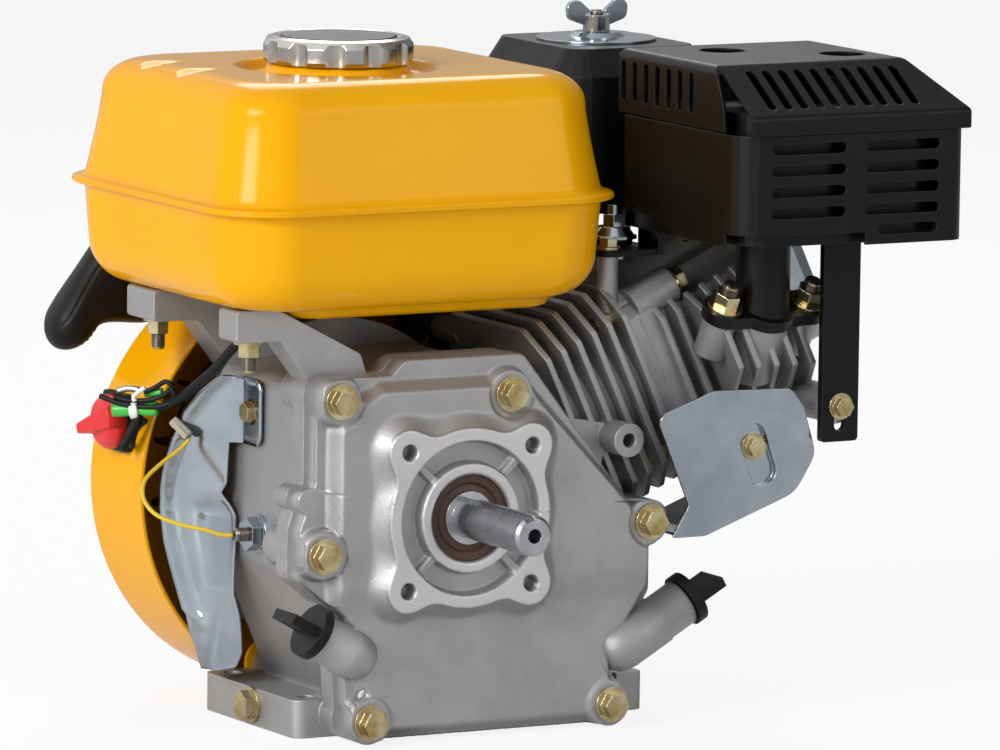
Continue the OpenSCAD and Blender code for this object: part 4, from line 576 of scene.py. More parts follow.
@dataclass
class Leads:
    """Ignition and oil level leads at the left of the crankcase.

    Attributes:
        steps: places on each span of a route.
    """

    steps: int = 6

    def run(self, route: list[Point]) -> Array:
        """Smooth line through a route in the crank frame."""
        return smooth_route(spot(np.array(route, float)), self.steps)

    def build(self) -> list[Piece]:
        """Leads, sleeves and tie, in place of their plain solids.

        Returns:
            The pieces.
        """
        black = self.run([(-84, 62, 84), (-87, 74, 76), (-89, 88, 65), (-91, 102, 56), (-94, 115, 47),
                          (-99, 126, 41.2)])
        tail = self.run([(-104, 131.5, 35), (-106, 137, 30), (-106.5, 140, 24), (-105.5, 142.5, 21.5),
                         (-104.6, 146.5, 22.4)])
        yellow = self.run([(-91, 111, 28), (-96, 112, 23), (-106, 111, 17), (-116, 108, 10), (-119, 103, 2),
                           (-115, 97, -5), (-106, 89, -9), (-97, 82, -11), (-91, 77, -13), (-86.5, 74, -13)])
        boot = self.run([(-96, 119, 36), (-93, 115, 32), (-91, 112, 29)])
        start, way = np.array([-100.0, 127, 41]), unit(np.array([-18.0, 17, -2]))
        sleeve = spot(start + np.linspace(0, 22, 23)[:, None] * way)
        swell = 0.0033 + 0.0002 * np.sin(np.linspace(0, 9, len(sleeve)))
        tie = spot(start + np.linspace(9, 13, 9)[:, None] * way)
        lip = 0.0047 + 0.0003 * np.sin(np.linspace(0, math.pi, len(tie)))
        strands = {
            "lead_bundle_tail": (0.0013, BLACK_RUBBER, [
                (-122, 144, 46), (-119.9, 141.6, 44.9), (-115.9, 137.8, 43.2), (-110.1, 132.4, 42),
                (-102.5, 125.2, 42), (-97.2, 120.2, 44.1), (-95.4, 118.5, 47.8), (-96.8, 119.8, 51.8)]),
            "lead_bundle_loop": (0.0012, BLACK_RUBBER, [
                (-116.8, 138.7, 46), (-112.7, 134.9, 44.6), (-106.1, 128.6, 44.8), (-100.3, 123.2, 47.1),
                (-96.5, 119.6, 51.6), (-98.6, 121.5, 54.3), (-102.1, 124.9, 51.5), (-106.1, 128.6, 48.6)]),
            "lead_bundle_sleeve": (0.0022, GREEN_SLEEVE, [
                (-104.6, 131.3, 48.2), (-102, 128.9, 48.5), (-98.4, 125.5, 48.6)]),
            "lead_crimp": (0.0015, GALVANISED, [
                (-114.9, 139.7, 48.4), (-111.4, 136.4, 49.8), (-106.9, 132.2, 49.6)]),
            "lead_tape": (0.0022, BLACK_RUBBER, [
                (-106.9, 132.1, 37.6), (-109.9, 135, 29.3), (-113, 137.9, 21.2)]),
            "lead_tie_tail": (0.0011, WHITE_PLASTIC, [
                (-109.9, 130.9, 44.3), (-110.5, 131.5, 46.4), (-108.6, 129.6, 49.2), (-106.4, 127.5, 51.1)]),
        }
        runs = {
            "lead_black": (black, 0.00225, BLACK_RUBBER, "black_leads"),
            "lead_switch_tail": (tail, 0.0015, BLACK_RUBBER),
            "lead_yellow": (yellow, 0.001, YELLOW_WIRE, "yellow_lead"),
            "lead_white_boot": (boot, 0.0025, BRAID, "lead_boot"),
            "lead_green_sleeve": (sleeve, swell, GREEN_SLEEVE, "lead_sleeve"),
            "lead_tie": (tie, lip, WHITE_PLASTIC, "cable_tie"),
        }
        return [
            *(Piece(tube(name, self.run(route), radius), "engine", finish)
              for name, (radius, finish, route) in strands.items()),
            *(Piece(tube(name, line, radius), "engine", finish, tuple(nodes))
              for name, (line, radius, finish, *nodes) in runs.items()),
        ]


@dataclass
class SideCover:
    """Cast side cover with the flange face: a depth map over its outline, its back, and the two oil fillers.

    Places are x and z in the crank frame and depths are behind the flange face, all in millimetres.

    Attributes:
        outline: corners of the joint's rim, clockwise.
        shelf: corners of the raised front, clockwise.
        bolts: middles of the cover bolts.
        boss: radius of a bolt's boss.
        lug: middle and radius of the small lug at the left.
        levels: depths of the raised front above and below its crease, the bolt seats, the rim and the joint.
        crease: start and end of the front's crease below the crank axis.
        shoulder: start and end of the fall to the rim, from the raised front's edge outwards.
        rounds: corner radii of the raised front and of the rim.
        flange: radii of the flange face between its lobes and of a lobe, and width of the fillet round both.
        wall: width of the rim's wall, depth of the hollow's floor and least thickness in front of it.
        taps: middle of a tapped hole across, and its radius.
        groove: inner radius, outer radius and depth of the ring groove.
        bore: radius of the seal's bore.
        grid: places outwards and round.
    """

    outline: tuple[Pair, ...] = (
        (-74, 67), (-34, 67), (-27, 74), (36, 74), (96, -2), (106, -20), (106, -43), (86, -75), (90, -104.5),
        (-56, -104.5), (-57, -86), (-60, -45), (-82, -27), (-82, -4), (-74, 18))
    shelf: tuple[Pair, ...] = (
        (-66, 44), (-53, 56.5), (-41.5, 62.5), (33.5, 62.5), (91.5, 1), (102.5, -18.5), (102.5, -40.5),
        (83.5, -70.5), (83.5, -101), (-43.5, -101), (-51.5, -73.5), (-56.5, -50.5), (-66, -41.5))
    bolts: tuple[Pair, ...] = ((-64, 57), (26, 56), (-72, -15), (102, -9), (-47, -95), (82, -95))
    boss: float = 10.5
    lug: Triple = (-77, 10, 6)
    levels: tuple[float, ...] = (8.0, 11.4, 10.0, 17.0, 28.0)
    crease: Pair = (29.5, 46.5)
    shoulder: Pair = (-3.2, 2.6)
    rounds: Pair = (7.0, 6.0)
    flange: Triple = (42.2, 10.3, 8.0)
    wall: Triple = (9.0, 13.0, 3.0)
    taps: Pair = (32.56, 3.45)
    groove: Triple = (25.6, 36.5, 6.4)
    bore: float = 20.6
    grid: tuple[int, int] = (140, 640)

    @staticmethod
    def away(x: Array, z: Array, corners: Array) -> Array:
        """Distance from an outline, below zero inside: the least one to its sides, signed by crossings.

        Args:
            x: places across.
            z: places upwards.
            corners: corners of the outline.

        Returns:
            The distances.
        """
        spot_at = np.stack([x, z], axis=-1)[..., None, :]
        ends = np.roll(corners, -1, axis=0)
        side = ends - corners
        share = np.clip(((spot_at - corners) * side).sum(-1) / (side * side).sum(-1), 0, 1)
        far = np.linalg.norm(spot_at - corners - share[..., None] * side, axis=-1).min(-1)
        above = (corners[:, 1] > z[..., None]) != (ends[:, 1] > z[..., None])
        rise = np.where(side[:, 1] == 0, 1.0, side[:, 1])
        meets = x[..., None] < corners[:, 0] + (z[..., None] - corners[:, 1]) * side[:, 0] / rise
        return np.where((above & meets).sum(-1) % 2 == 1, -far, far)

    @staticmethod
    def inset(corners: Array, depth: float) -> Array:
        """Outline moved inwards: each corner goes along its two sides' normals.

        Args:
            corners: corners of the outline, clockwise.
            depth: distance inwards.

        Returns:
            The moved corners.
        """
        before = unit(corners - np.roll(corners, 1, axis=0))
        after = unit(np.roll(corners, -1, axis=0) - corners)
        normal = np.stack([before[:, 1] + after[:, 1], -before[:, 0] - after[:, 0]], axis=1)
        return corners + depth * normal / (1 + (before * after).sum(1, keepdims=True))

    def depth(self, x: Array, z: Array) -> Array:
        """Depth of the front behind the flange face.

        The raised front is a plane with a soft crease; it falls to the rim over a rounded shoulder, gives
        way to flat seats round the bolts and rises in a wide fillet to the lobed flange face, which has a
        ring groove with four ribs, a milled inner ring and four tapped holes.

        Args:
            x: places across.
            z: places upwards.

        Returns:
            The depths.
        """
        front, low, seat, rim, _ = self.levels
        plane = front + (low - front) * ease(-z, *self.crease)
        edge = self.away(x, z, self.inset(np.array(self.shelf, float), self.rounds[0])) - self.rounds[0]
        level = plane + (rim - plane) * ease(edge, *self.shoulder)
        for bolt in self.bolts:
            reach = np.hypot(x - bolt[0], z - bolt[1])
            level = seat + (level - seat) * ease(reach, self.boss + 0.3, self.boss + 2.4)
        round_face, lobe, width = self.flange
        around = np.hypot(x, z)
        hole = np.hypot(np.abs(x) - self.taps[0], np.abs(z) - self.taps[0])
        lobes = hole - lobe
        ring = around - round_face
        mix = np.clip(0.5 + (ring - lobes) / 22, 0, 1)
        face = ring + (lobes - ring) * mix - 11 * mix * (1 - mix)
        fillet = 0.45 * (1 - (1 - np.clip(face / width, 0, 1)) ** 2.2) + 0.55 * ease(face, 0, width)
        level = np.minimum(level, 1.4 + (level - 1.4) * fillet)
        level = level * ease(face, -0.1, 0.7)
        inner, outer, deep = self.groove
        trench = ease(around, inner - 0.2, inner + 1.3) * (1 - ease(around, outer - 1.3, outer + 0.2))
        rib = np.abs(np.abs(x) - np.abs(z)) / math.sqrt(2)
        trench *= 0.42 + 0.58 * ease(rib, 1.5, 2.9)
        level = level + deep * trench
        level += 0.7 * (1 - ease(around, self.bore + 0.2, self.bore + 1.0))
        level += 9.0 * (1 - ease(hole, self.taps[1] - 0.25, self.taps[1] + 0.35))
        return level + 0.5 * (1 - ease(hole, self.taps[1], self.taps[1] + 1.1)) * (hole > self.taps[1])

    def rim(self) -> tuple[Array, Array]:
        """Angles and reaches of the outline from the crank axis: the furthest of rim, bosses and lug.

        Returns:
            Angles, closer where the reach is long, and reaches.
        """
        fine = np.linspace(-math.pi, math.pi, 7200, endpoint=False)
        way = np.stack([np.cos(fine), np.sin(fine)], axis=1)
        corners = self.inset(np.array(self.outline, float), self.rounds[1])
        tries = np.linspace(40, 150, 500)
        far = np.empty_like(fine)
        for part in np.array_split(np.arange(len(fine)), 12):
            places = way[part, None, :] * tries[None, :, None]
            inside = self.away(places[..., 0], places[..., 1], corners) - self.rounds[1] < 0
            far[part] = tries[np.maximum(inside.shape[1] - 1 - inside[:, ::-1].argmax(1), 0)]
        for x, z, radius in [(*bolt, self.boss) for bolt in self.bolts] + [self.lug]:
            along, off = way @ (x, z), way @ (-z, x)
            round_it = (np.abs(off) < radius) & (along > 0)
            edge = along + np.sqrt(np.maximum(radius**2 - off**2, 0))
            far = np.where(round_it, np.maximum(far, edge), far)
        share = np.cumsum(far) / far.sum()
        turn = np.interp(np.linspace(share[0], 1, self.grid[1], endpoint=False), share, fine)
        return turn, np.interp(turn, fine, far)

    def casting(self) -> Thing:
        """Front from the bore out to the rim, then the rim's wall, the joint face and the hollow behind.

        Returns:
            The closed casting.
        """
        turn, far = self.rim()
        reach = self.bore + (far - self.bore) * np.linspace(0, 1, self.grid[0])[:, None]
        depth = self.depth(reach * np.cos(turn), reach * np.sin(turn))
        width, floor, least = self.wall
        inside = far - width
        skin = self.depth(inside * np.cos(turn), inside * np.sin(turn))
        hollow = np.stack([far - 0.8, far, far, inside, inside, np.full_like(far, self.bore), reach[0]])
        behind = np.stack([depth[-1] + 0.2, depth[-1] + 1.2, *np.full((2, len(far)), self.levels[4]),
                           np.maximum(floor, skin + least), np.full_like(far, floor), depth[0]])
        reach, depth = np.vstack([reach[:-1], hollow]), np.vstack([depth[:-1], behind])
        place = np.stack([reach * np.cos(turn), depth, reach * np.sin(turn)], axis=-1)
        return surface("side_cover_casting", spot(place)[:, ::-1])

    def filler(self, name: str, side: float, root: Pair, length: float, sunk: float) -> Thing:
        """Oil filler: a profile of place along its axis and radius, with its bore, turned once round.

        Args:
            name: name of the piece.
            side: -1 for the left and 1 for the right.
            root: middle of its root.
            length: length from the root to its mouth.
            sunk: how much further its rounded end goes into the casting.

        Returns:
            The new object.
        """
        profile = np.array([
            (-11 - sunk, 5), (-9.5 - sunk, 8), (-7 - sunk, 10.2), (-3 - sunk, 11.5), (1 - sunk, 12),
            (length - 15.6, 12), (length - 15, 11.4), (length - 0.8, 11.4), (length, 10.8), (length, 9.8),
            (length - 0.6, 9.25), (-6, 9.25), (-9.8, 4)])
        tilt = math.radians(30)
        axis = np.array([side * math.cos(tilt), 0, math.sin(tilt)])
        across = np.array([0.0, 1, 0])
        upward = np.cross(axis, across)
        turn = circle(56)[None, :, None]
        ring = np.cos(turn) * across + np.sin(turn) * upward
        middle = np.array([root[0], 16.0, root[1]]) + profile[:, :1] * axis
        return surface(name, spot(middle[:, None, :] + profile[:, 1][:, None, None] * ring), caps=True)

    def build(self) -> list[Piece]:
        """The casting and its two fillers, in place of the plain solid.

        Returns:
            The pieces.
        """
        return [
            Piece(self.casting(), "engine", CAST_ALLOY, ("side_cover",)),
            Piece(self.filler("filler_left", -1, (-54, -63), 21, 0), "engine", CAST_ALLOY),
            Piece(self.filler("filler_right", 1, (100, -63), 27, 11), "engine", CAST_ALLOY),
        ]


@dataclass
class FuelTank:
    """Pressed fuel tank: two shells that meet in a rolled rim, as rings round the filler neck.

    Places are in the crank frame, in millimetres.

    Attributes:
        box: lowest and highest x and y of the rim.
        corner: corner radius of the rim.
        neck: middle of the filler neck and the radius of its hole.
        levels: heights of the belly, the floor, the seam and the top.
        belly: lowest and highest x and y of the belly under the floor.
        brow: inset of the sides at their top, and width and drop of the round edge over them.
        dish: inner radius, outer radius and depth of the dished ring round the neck.
        lip: insets of the rolled rim, and their distances from the seam.
        scallops: y of the pressed scallops at the left of the top.
        columns: places round a ring.
        gauge: sheet thickness in metres.
    """

    box: tuple[float, float, float, float] = (-127.0, 86.0, -4.0, 192.0)
    corner: float = 34.0
    neck: Triple = (-28.0, 85.0, 23.2)
    levels: tuple[float, float, float, float] = (93.5, 99.0, 147.0, 205.0)
    belly: tuple[float, float, float, float] = (-85.5, 64.0, 18.0, 170.0)
    brow: Triple = (12.0, 18.0, 15.0)
    dish: Triple = (33.0, 49.0, 5.0)
    lip: tuple[Pair, ...] = ((0, 0.1), (0.4, 1.1), (1.4, 1.7), (3.0, 2.0), (4.6, 2.8))
    scallops: tuple[float, ...] = (93.0, 130.0, 167.0)
    columns: int = 360
    gauge: float = 0.0016

    @staticmethod
    def away(x: Array, y: Array, box: tuple[float, ...], corner: float) -> Array:
        """Distance from a box with round corners, below zero inside.

        Args:
            x: places across.
            y: places along the shaft.
            box: lowest and highest x and y.
            corner: corner radius.

        Returns:
            The distances.
        """
        across = np.abs(x - (box[0] + box[1]) / 2) - (box[1] - box[0]) / 2 + corner
        deep = np.abs(y - (box[2] + box[3]) / 2) - (box[3] - box[2]) / 2 + corner
        outside = np.hypot(np.maximum(across, 0), np.maximum(deep, 0))
        return outside + np.minimum(np.maximum(across, deep), 0) - corner

    def outline(self, inset: float, places: int) -> Array:
        """Places at even steps along the rim's outline, moved inwards.

        Args:
            inset: distance inwards.
            places: number of places.

        Returns:
            Places by x and y, the first at the right of the neck, turning to the back.
        """
        x0, x1, y0, y1 = np.array(self.box) + inset * np.array([1, -1, 1, -1])
        radius = max(self.corner - inset * 0.45, 9.0)
        turn = np.linspace(0, math.pi / 2, 40)
        arc = radius * np.stack([np.cos(turn), np.sin(turn)], axis=1)
        left, right, front, rear = x0 + radius, x1 - radius, y0 + radius, y1 - radius
        corners = [(right, rear) + arc, (left, rear) + arc[::-1] * (-1, 1),
                   (left, front) - arc, (right, front) + arc[::-1] * (1, -1)]
        start = np.array([[x1, self.neck[1]]])
        line = np.vstack([start, *corners, start])
        travel = travelled(line)
        even = np.linspace(0, travel[-1], places, endpoint=False)
        return np.stack([np.interp(even, travel, line[:, k]) for k in (0, 1)], axis=1)

    def ring(self, inset: float, height: float) -> Array:
        """One ring of the shell: where rays from the neck meet the outline moved inwards by the inset.

        Args:
            inset: distance inwards.
            height: height of the ring.

        Returns:
            Places of the ring.
        """
        middle = np.array(self.neck[:2])
        rays = self.outline(10.0, self.columns) - middle
        turn = np.unwrap(np.arctan2(rays[:, 1], rays[:, 0]))
        dense = self.outline(inset, 2400) - middle
        dense = np.vstack([dense, dense[:1]])
        angle = np.unwrap(np.arctan2(dense[:, 1], dense[:, 0]))
        reach = np.interp(turn, angle, np.hypot(dense[:, 0], dense[:, 1]))
        return np.column_stack([middle + reach[:, None] * np.stack([np.cos(turn), np.sin(turn)], axis=1),
                                np.full(self.columns, height)])

    def upper(self) -> Array:
        """Rings of the upper shell: the top with its round edge, the leaning sides and half of the rim.

        The top is level, turns down in a quarter ellipse, and has a dished ring round the neck and
        round-bottomed scallops that run out to the right.

        Returns:
            Rings from the neck outwards.
        """
        inset, width, drop = self.brow
        seam, high = self.levels[2:]
        edge = self.ring(inset + width, 0.0)
        neck = np.array([*self.neck[:2], 0.0])
        way = edge - neck
        share = self.neck[2] / np.linalg.norm(way, axis=1)[None, :, None]
        share = share + (1 - share) * np.linspace(0, 1, 54)[:, None, None]
        top = neck + way * share
        top[..., 2] = high
        turn = np.linspace(0, math.pi / 2, 16)[1:]
        brow = zip(inset + width * (1 - np.sin(turn)), high - drop * (1 - np.cos(turn)))
        top = np.concatenate([top, np.stack([self.ring(*level) for level in brow])])
        x, y = top[..., 0], top[..., 1]
        around = np.hypot(x - neck[0], y - neck[1])
        inner, outer, deep = self.dish
        step = np.clip((around - inner) / 3, 0, 1) * np.clip((outer - around) / 6, 0, 1)
        top[..., 2] += 1.4 * np.clip((inner + 2 - around) / 3, 0, 1) - deep * ease(step, 0, 1)
        for middle in self.scallops:
            hollow = np.sqrt(np.maximum(9.0**2 - (y - middle) ** 2, 0))
            floor = high + 3 + 0.1405 * (x - self.box[0]) - hollow
            share = np.clip(0.5 + (floor - top[..., 2]) / 3, 0, 1)
            top[..., 2] = floor + (top[..., 2] - floor) * share - 1.5 * share * (1 - share)
        side = [(inset - 6.2 * k**1.25, high - drop - 37.5 * k) for k in np.linspace(0.04, 1, 16)]
        side += [(5.5, seam + 4.2), *((inward, seam + rise) for inward, rise in self.lip[::-1])]
        return np.concatenate([top, np.stack([self.ring(*level) for level in side])])

    def lower(self) -> Array:
        """Rings of the lower shell: half of the rim, the sides, the round edge, the floor and its belly.

        Returns:
            Rings from the rim to the middle of the floor.
        """
        belly, floor, seam, _ = self.levels
        side = [*((inward, seam - fall) for inward, fall in self.lip), (5.4, seam - 4.2)]
        side += [(5.5 + 1.5 * k, seam - 5 - 22 * k) for k in np.linspace(0.1, 1, 8)]
        turn = np.linspace(0, math.pi / 2, 16)[1:]
        side += list(zip(7 + 17 * (1 - np.cos(turn)), floor + 21 * (1 - np.sin(turn))))
        walls = np.stack([self.ring(*level) for level in side])
        middle = walls[-1].mean(0)
        base = middle + (walls[-1] - middle) * np.linspace(1, 0, 44)[1:, None, None]
        deep = ease(4 - self.away(base[..., 0], base[..., 1], self.belly, 22.0), 0, 15)
        base[..., 2] = floor + (belly - floor) * deep
        return np.concatenate([walls, base])

    def build(self) -> list[Piece]:
        """Both shells with the sheet's thickness inside them, in place of the plain solids.

        Returns:
            The pieces.
        """
        shells = {node: surface(f"{node}_shell", spot(rings)[:, ::-1])
                  for node, rings in (("tank_upper", self.upper()), ("tank_lower", self.lower()))}
        return [Piece(thicken(shell, self.gauge), "engine", YELLOW_PAINT, (node,))
                for node, shell in shells.items()]


@dataclass
class SideShroud:
    """Pressed shroud from the crankcase to the fan cover: rolled outer rim, dished lower half, bent tab.

    Attributes:
        bend: line on which it leaves the crankcase's side, seen from above, in millimetres.
        tip: line that its plane reaches at the fan cover.
        gauge: sheet thickness in metres.
        heights: levels of the tables of its edges, downwards.
        outer: reach of the outer edge from the bend at those levels.
        inner: reach of the inner edge at those levels.
    """

    bend: Pair = (-73.4, 88.0)
    tip: Pair = (-97.0, 133.0)
    gauge: float = 0.0012
    heights: tuple[float, ...] = (
        59, 51, 39.4, 28.2, 27.6, 13.5, 7.5, 3.1, -7.6, -22.5, -33.8, -45, -54.5, -57, -63.4, -72.5, -79, -82)
    outer: tuple[float, ...] = (
        18.9, 29.2, 38.9, 44.8, 45.1, 50, 51.3, 51.9, 52, 49.6, 45.9, 41.6, 37.9, 35, 32.1, 27.8, 25.7, 24.6)
    inner: tuple[float, ...] = (
        0.2, 0.2, 0.2, 0.2, 9.5, 10.4, 10.8, 13.8, 7.1, 6.5, 6.5, 6.2, 2.8, 2.4, 1.6, 1.2, 4.2, 17)

    def sheet(self, name: str, reach: Array, level: Array, lift: Array) -> Thing:
        """Sheet of a grid of places in its plane, moved out of it by the lift, with its thickness.

        Args:
            name: name of the piece.
            reach: distance from the bend, in millimetres.
            level: height above the crank axis.
            lift: distance out of the plane.

        Returns:
            The new object.
        """
        way = unit(np.subtract(self.tip, self.bend))
        out = np.array([-way[1], way[0]])
        plan = np.asarray(self.bend) + reach[..., None] * way + lift[..., None] * out
        place = np.concatenate([plan, level[..., None]], axis=-1)
        return thicken(surface(name, spot(place), around=False), self.gauge)

    def build(self) -> list[Piece]:
        """Pressed sheet: a ridge inside the outer edge, a rim that turns back, and a dish in the lower half.

        Returns:
            The pieces.
        """
        table = np.array([self.heights, self.outer, self.inner])[:, ::-1]
        top, step, below_step, bottom = (self.heights[k] for k in (0, 3, 4, -1))
        level = np.concatenate([np.linspace(top, step, 34), np.linspace(below_step, bottom, 116)])
        outer, inner = (np.interp(level, table[0], edge)[:, None] for edge in table[1:])
        reach = inner + (outer - inner) * np.linspace(0, 1, 48)[None, :]
        level = np.broadcast_to(level[:, None], reach.shape)
        inset = outer - reach
        rolled = 3.6 * np.exp(-(((inset - 6.5) / 4.0) ** 2)) - 3.2 * np.exp(-((inset / 2.6) ** 2))
        rolled *= np.clip((level + 66) / 12, 0.15, 1)
        beyond = 1 + np.exp((reach - 27.5 - 0.12 * level) / 1.5)
        above = 1 + np.exp((level + 1.5 + 0.0125 * (reach - 16) ** 2) / 1.3)
        dish = -3.4 * np.clip(1 + (level + 8) / 44, 0.2, 1) / beyond / above
        flute = -1.6 * np.exp(-(((reach - 15 + 0.2 * (level + 60)) / 4.0) ** 2))
        flute *= np.clip((-level - 44) / 14, 0, 1)
        fade = np.clip(reach / 6, 0, 1) * np.clip((reach - inner + 2) / 5, 0.35, 1)
        pressing = self.sheet("shroud_pressing", reach, level, (rolled + dish + flute) * fade)
        return [Piece(pressing, "engine", GALVANISED, ("side_shroud",)),
                Piece(self.tab(), "engine", GALVANISED)]

    def tab(self) -> Thing:
        """Tab against the crankcase's side: a flat strip with broken corners, under its bolt.

        Returns:
            The new object.
        """
        along = np.linspace(0, 1, 13)[:, None] * np.ones((1, 9))
        across = np.ones((13, 1)) * np.linspace(-1, 1, 9)[None, :]
        half = 16 - 4 * np.clip(1 - along * 6, 0, 1)
        side = np.full_like(along, self.bend[0])
        place = np.stack([side, self.bend[1] - 17 * (1 - along), 44 + across * half], axis=-1)
        return thicken(surface("shroud_tab", spot(place)[:, ::-1], around=False), self.gauge)


@dataclass
class CapTop:
    """Dark moulded disc in the top of the fuel cap.

    Attributes:
        radius: radius of the disc in metres.
        middle: middle of its underside in the crank frame.
    """

    radius: float = 0.0275
    middle: Point = (-28, 85, 218.5)

    def build(self) -> list[Piece]:
        """Disc with a raised rim: a profile of radius and height turned once round.

        Returns:
            The piece.
        """
        profile = np.array([
            [0.02, 0.9], [0.3, 0.9], [0.62, 0.95], [0.86, 1.05], [0.95, 1.15], [1.0, 0.95], [1.0, 0.0]])
        turn = circle(72)
        reach = self.radius * profile[:, :1]
        place = np.stack([reach * np.cos(turn), reach * np.sin(turn),
                          np.broadcast_to(MM * profile[:, 1:], (len(profile), len(turn)))], axis=-1)
        disc = surface("cap_top_disc", (place + spot(self.middle))[::-1], caps=True)
        return [Piece(disc, "cap", CAP_TOP)]


@dataclass
class Rope:
    """Starter rope between its guide and the grip, as one fixed tube; on the engine it lengthens as the grip
    is pulled.

    Attributes:
        angle: direction of the pull, in degrees from +X.
        reach: radius at which the rope leaves the reel, in millimetres.
        across: place along the shaft, in millimetres.
        radius: radius of the rope in metres.
    """

    angle: float = 142.0
    reach: float = 30.0
    across: float = 215.0
    radius: float = 0.0019

    def at(self, travel: Array | float) -> Array:
        """Place on the rope's line, from the reel outwards.

        Args:
            travel: distance or distances from where the rope leaves the reel, in millimetres.

        Returns:
            Place or places in metres.
        """
        a = math.radians(self.angle)
        start = np.array([self.reach * math.sin(a), self.across, -self.reach * math.cos(a)])
        return spot(start + np.multiply.outer(travel, np.array([math.cos(a), 0.0, math.sin(a)])))

    def build(self) -> list[Piece]:
        """Braided rope, in place of its plain rod.

        Returns:
            The piece.
        """
        line = self.at(np.concatenate([np.linspace(2, 62, 12), np.linspace(63, 80, 120)]))
        rope = tube("starter_rope_braid", line, self.radius, 12)
        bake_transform(rope)
        return [Piece(rope, "", ROPE, ("starter_rope",))]


@dataclass
class PullGrip:
    """Moulded grip of the starter: a bar across the rope with a groove and finger recesses, and its stem.

    Places along the bar and along the rope are in millimetres.

    Attributes:
        rope: the rope that it hangs on.
        middle: place of the bar's middle along the rope.
        half: half of the bar's length.
        width: half of the bar's width along the shaft.
        straight: half of the length between its rounded ends.
        dome: height of the outer face over the middle, and its fall to the ends.
        throat: depth of the inner side, how much deeper it is at the stem, and where that starts and ends.
        groove: depth of the parting groove, its distance behind the outer face and half of its width.
        rib: height and pitch of the ribs in the recesses.
        stem: places and radii of the stem's two ends.
    """

    rope: Rope = field(default_factory=Rope)
    middle: float = 126.0
    half: float = 51.0
    width: float = 13.0
    straight: float = 36.0
    dome: Pair = (12.0, 3.0)
    throat: tuple[float, float, float, float] = (12.0, 24.0, 9.0, 32.0)
    groove: Triple = (0.55, 4.5, 0.6)
    rib: Pair = (0.22, 3.0)
    stem: tuple[Pair, Pair] = ((72.3, 8.0), (104.0, 12.5))

    def bar(self) -> Thing:
        """Loft along the bar: rounded sections between a domed face and an inner side with two recesses.

        Returns:
            The closed bar.
        """
        run = self.half * np.sin(np.linspace(-0.995, 0.995, 180) * math.pi / 2)[:, None]
        turn = circle(240)
        rounded = np.clip((np.abs(run) - self.straight) / (self.half - self.straight), 0, 0.999)
        end = np.sqrt(1 - rounded**2)
        outer = self.dome[0] - self.dome[1] * (run / self.half) ** 2
        inner = -self.throat[0] - self.throat[1] * (1 - ease(np.abs(run), *self.throat[2:]))
        flat = [np.sign(wave) * np.abs(wave) ** 0.78 for wave in (np.cos(turn), np.sin(turn))]
        reach = (outer + inner) / 2 + (outer - inner) / 2 * end * flat[0]
        cut, behind, wide = self.groove
        groove = cut * np.exp(-(((outer - reach) / end - behind) / wide) ** 2)
        ribbed = ease(np.abs(run), 31, 35) * (1 - ease(np.abs(run), 42, 46))
        ribs = self.rib[0] * np.sin(run * 2 * math.pi / self.rib[1]) * ribbed * ease(-flat[0], 0.5, 0.7)
        across = (self.width - groove) * end * flat[1]
        lean = math.radians(self.rope.angle)
        bar_way = np.array([-math.sin(lean), 0, math.cos(lean)])
        place = self.rope.at(self.middle + reach - ribs) + MM * (run[..., None] * bar_way)
        return surface("starter_grip_bar", place + MM * across[..., None] * np.array([0.0, 1, 0]), caps=True)

    def build(self) -> list[Piece]:
        """Bar and stem, in place of the plain grip.

        Returns:
            The pieces.
        """
        (low, thin), (high, thick) = self.stem
        line, radius = self.rope.at(np.linspace(low, high, 8)), MM * np.linspace(thin, thick, 8)
        stem = tube("starter_grip_stem", line, radius, 48)
        return [Piece(self.bar(), "grip", BLACK_PLASTIC, ("starter_grip",)),
                Piece(stem, "grip", BLACK_PLASTIC)]


@dataclass
class SwitchKnob:
    """Red knob of the stop switch: a coned disc with a wedge across it, from one height map over the disc.

    Attributes:
        middle: middle of the knob's underside in the crank frame.
        radius: radius of the disc in millimetres.
        heights: heights of the disc and of the wedge's two ends, in millimetres.
        wedge: half of the wedge's width in the middle, and how much it narrows to its high end.
        tilt: turn of the wedge's high end down from the shaft's direction, in degrees.
    """

    middle: Point = (-106.3, 160, 31)
    radius: float = 13.0
    heights: Triple = (8.0, 9.5, 14.0)
    wedge: Pair = (4.2, 1.5)
    tilt: float = 20.0

    def build(self) -> list[Piece]:
        """Height map over a polar grid, with its wall; the wedge narrows towards its high end.

        Returns:
            The piece.
        """
        share = np.concatenate([[0.02], np.linspace(0.06, 0.98, 60), [1.0, 1.0]])[:, None]
        turn = circle(200)
        up, back = self.radius * share * np.cos(turn), self.radius * share * np.sin(turn)
        lean = math.radians(self.tilt)
        along = back * math.cos(lean) - up * math.sin(lean)
        across = back * math.sin(lean) + up * math.cos(lean)
        place = np.clip(along / self.radius, -1, 1)
        disc, near, far = self.heights
        wedge = near + (far - near) * (0.5 + 0.5 * place)
        inside = 1 - ease(np.abs(across) - self.wedge[0] + self.wedge[1] * place, -0.5, 0.7)
        cone = disc * (1 - 0.5 * np.clip((share - 0.7) / 0.3, 0, 1) ** 2)
        height = cone + (np.maximum(wedge, cone) - cone) * inside
        height[-2] -= 0.4
        height[-1] = 0.0
        place = np.stack([-height, back, up], axis=-1) + np.array(self.middle)
        knob = surface("switch_knob_wedge", spot(place)[:, ::-1], caps=True)
        return [Piece(knob, "knob", RED_PLASTIC, ("switch_knob",))]


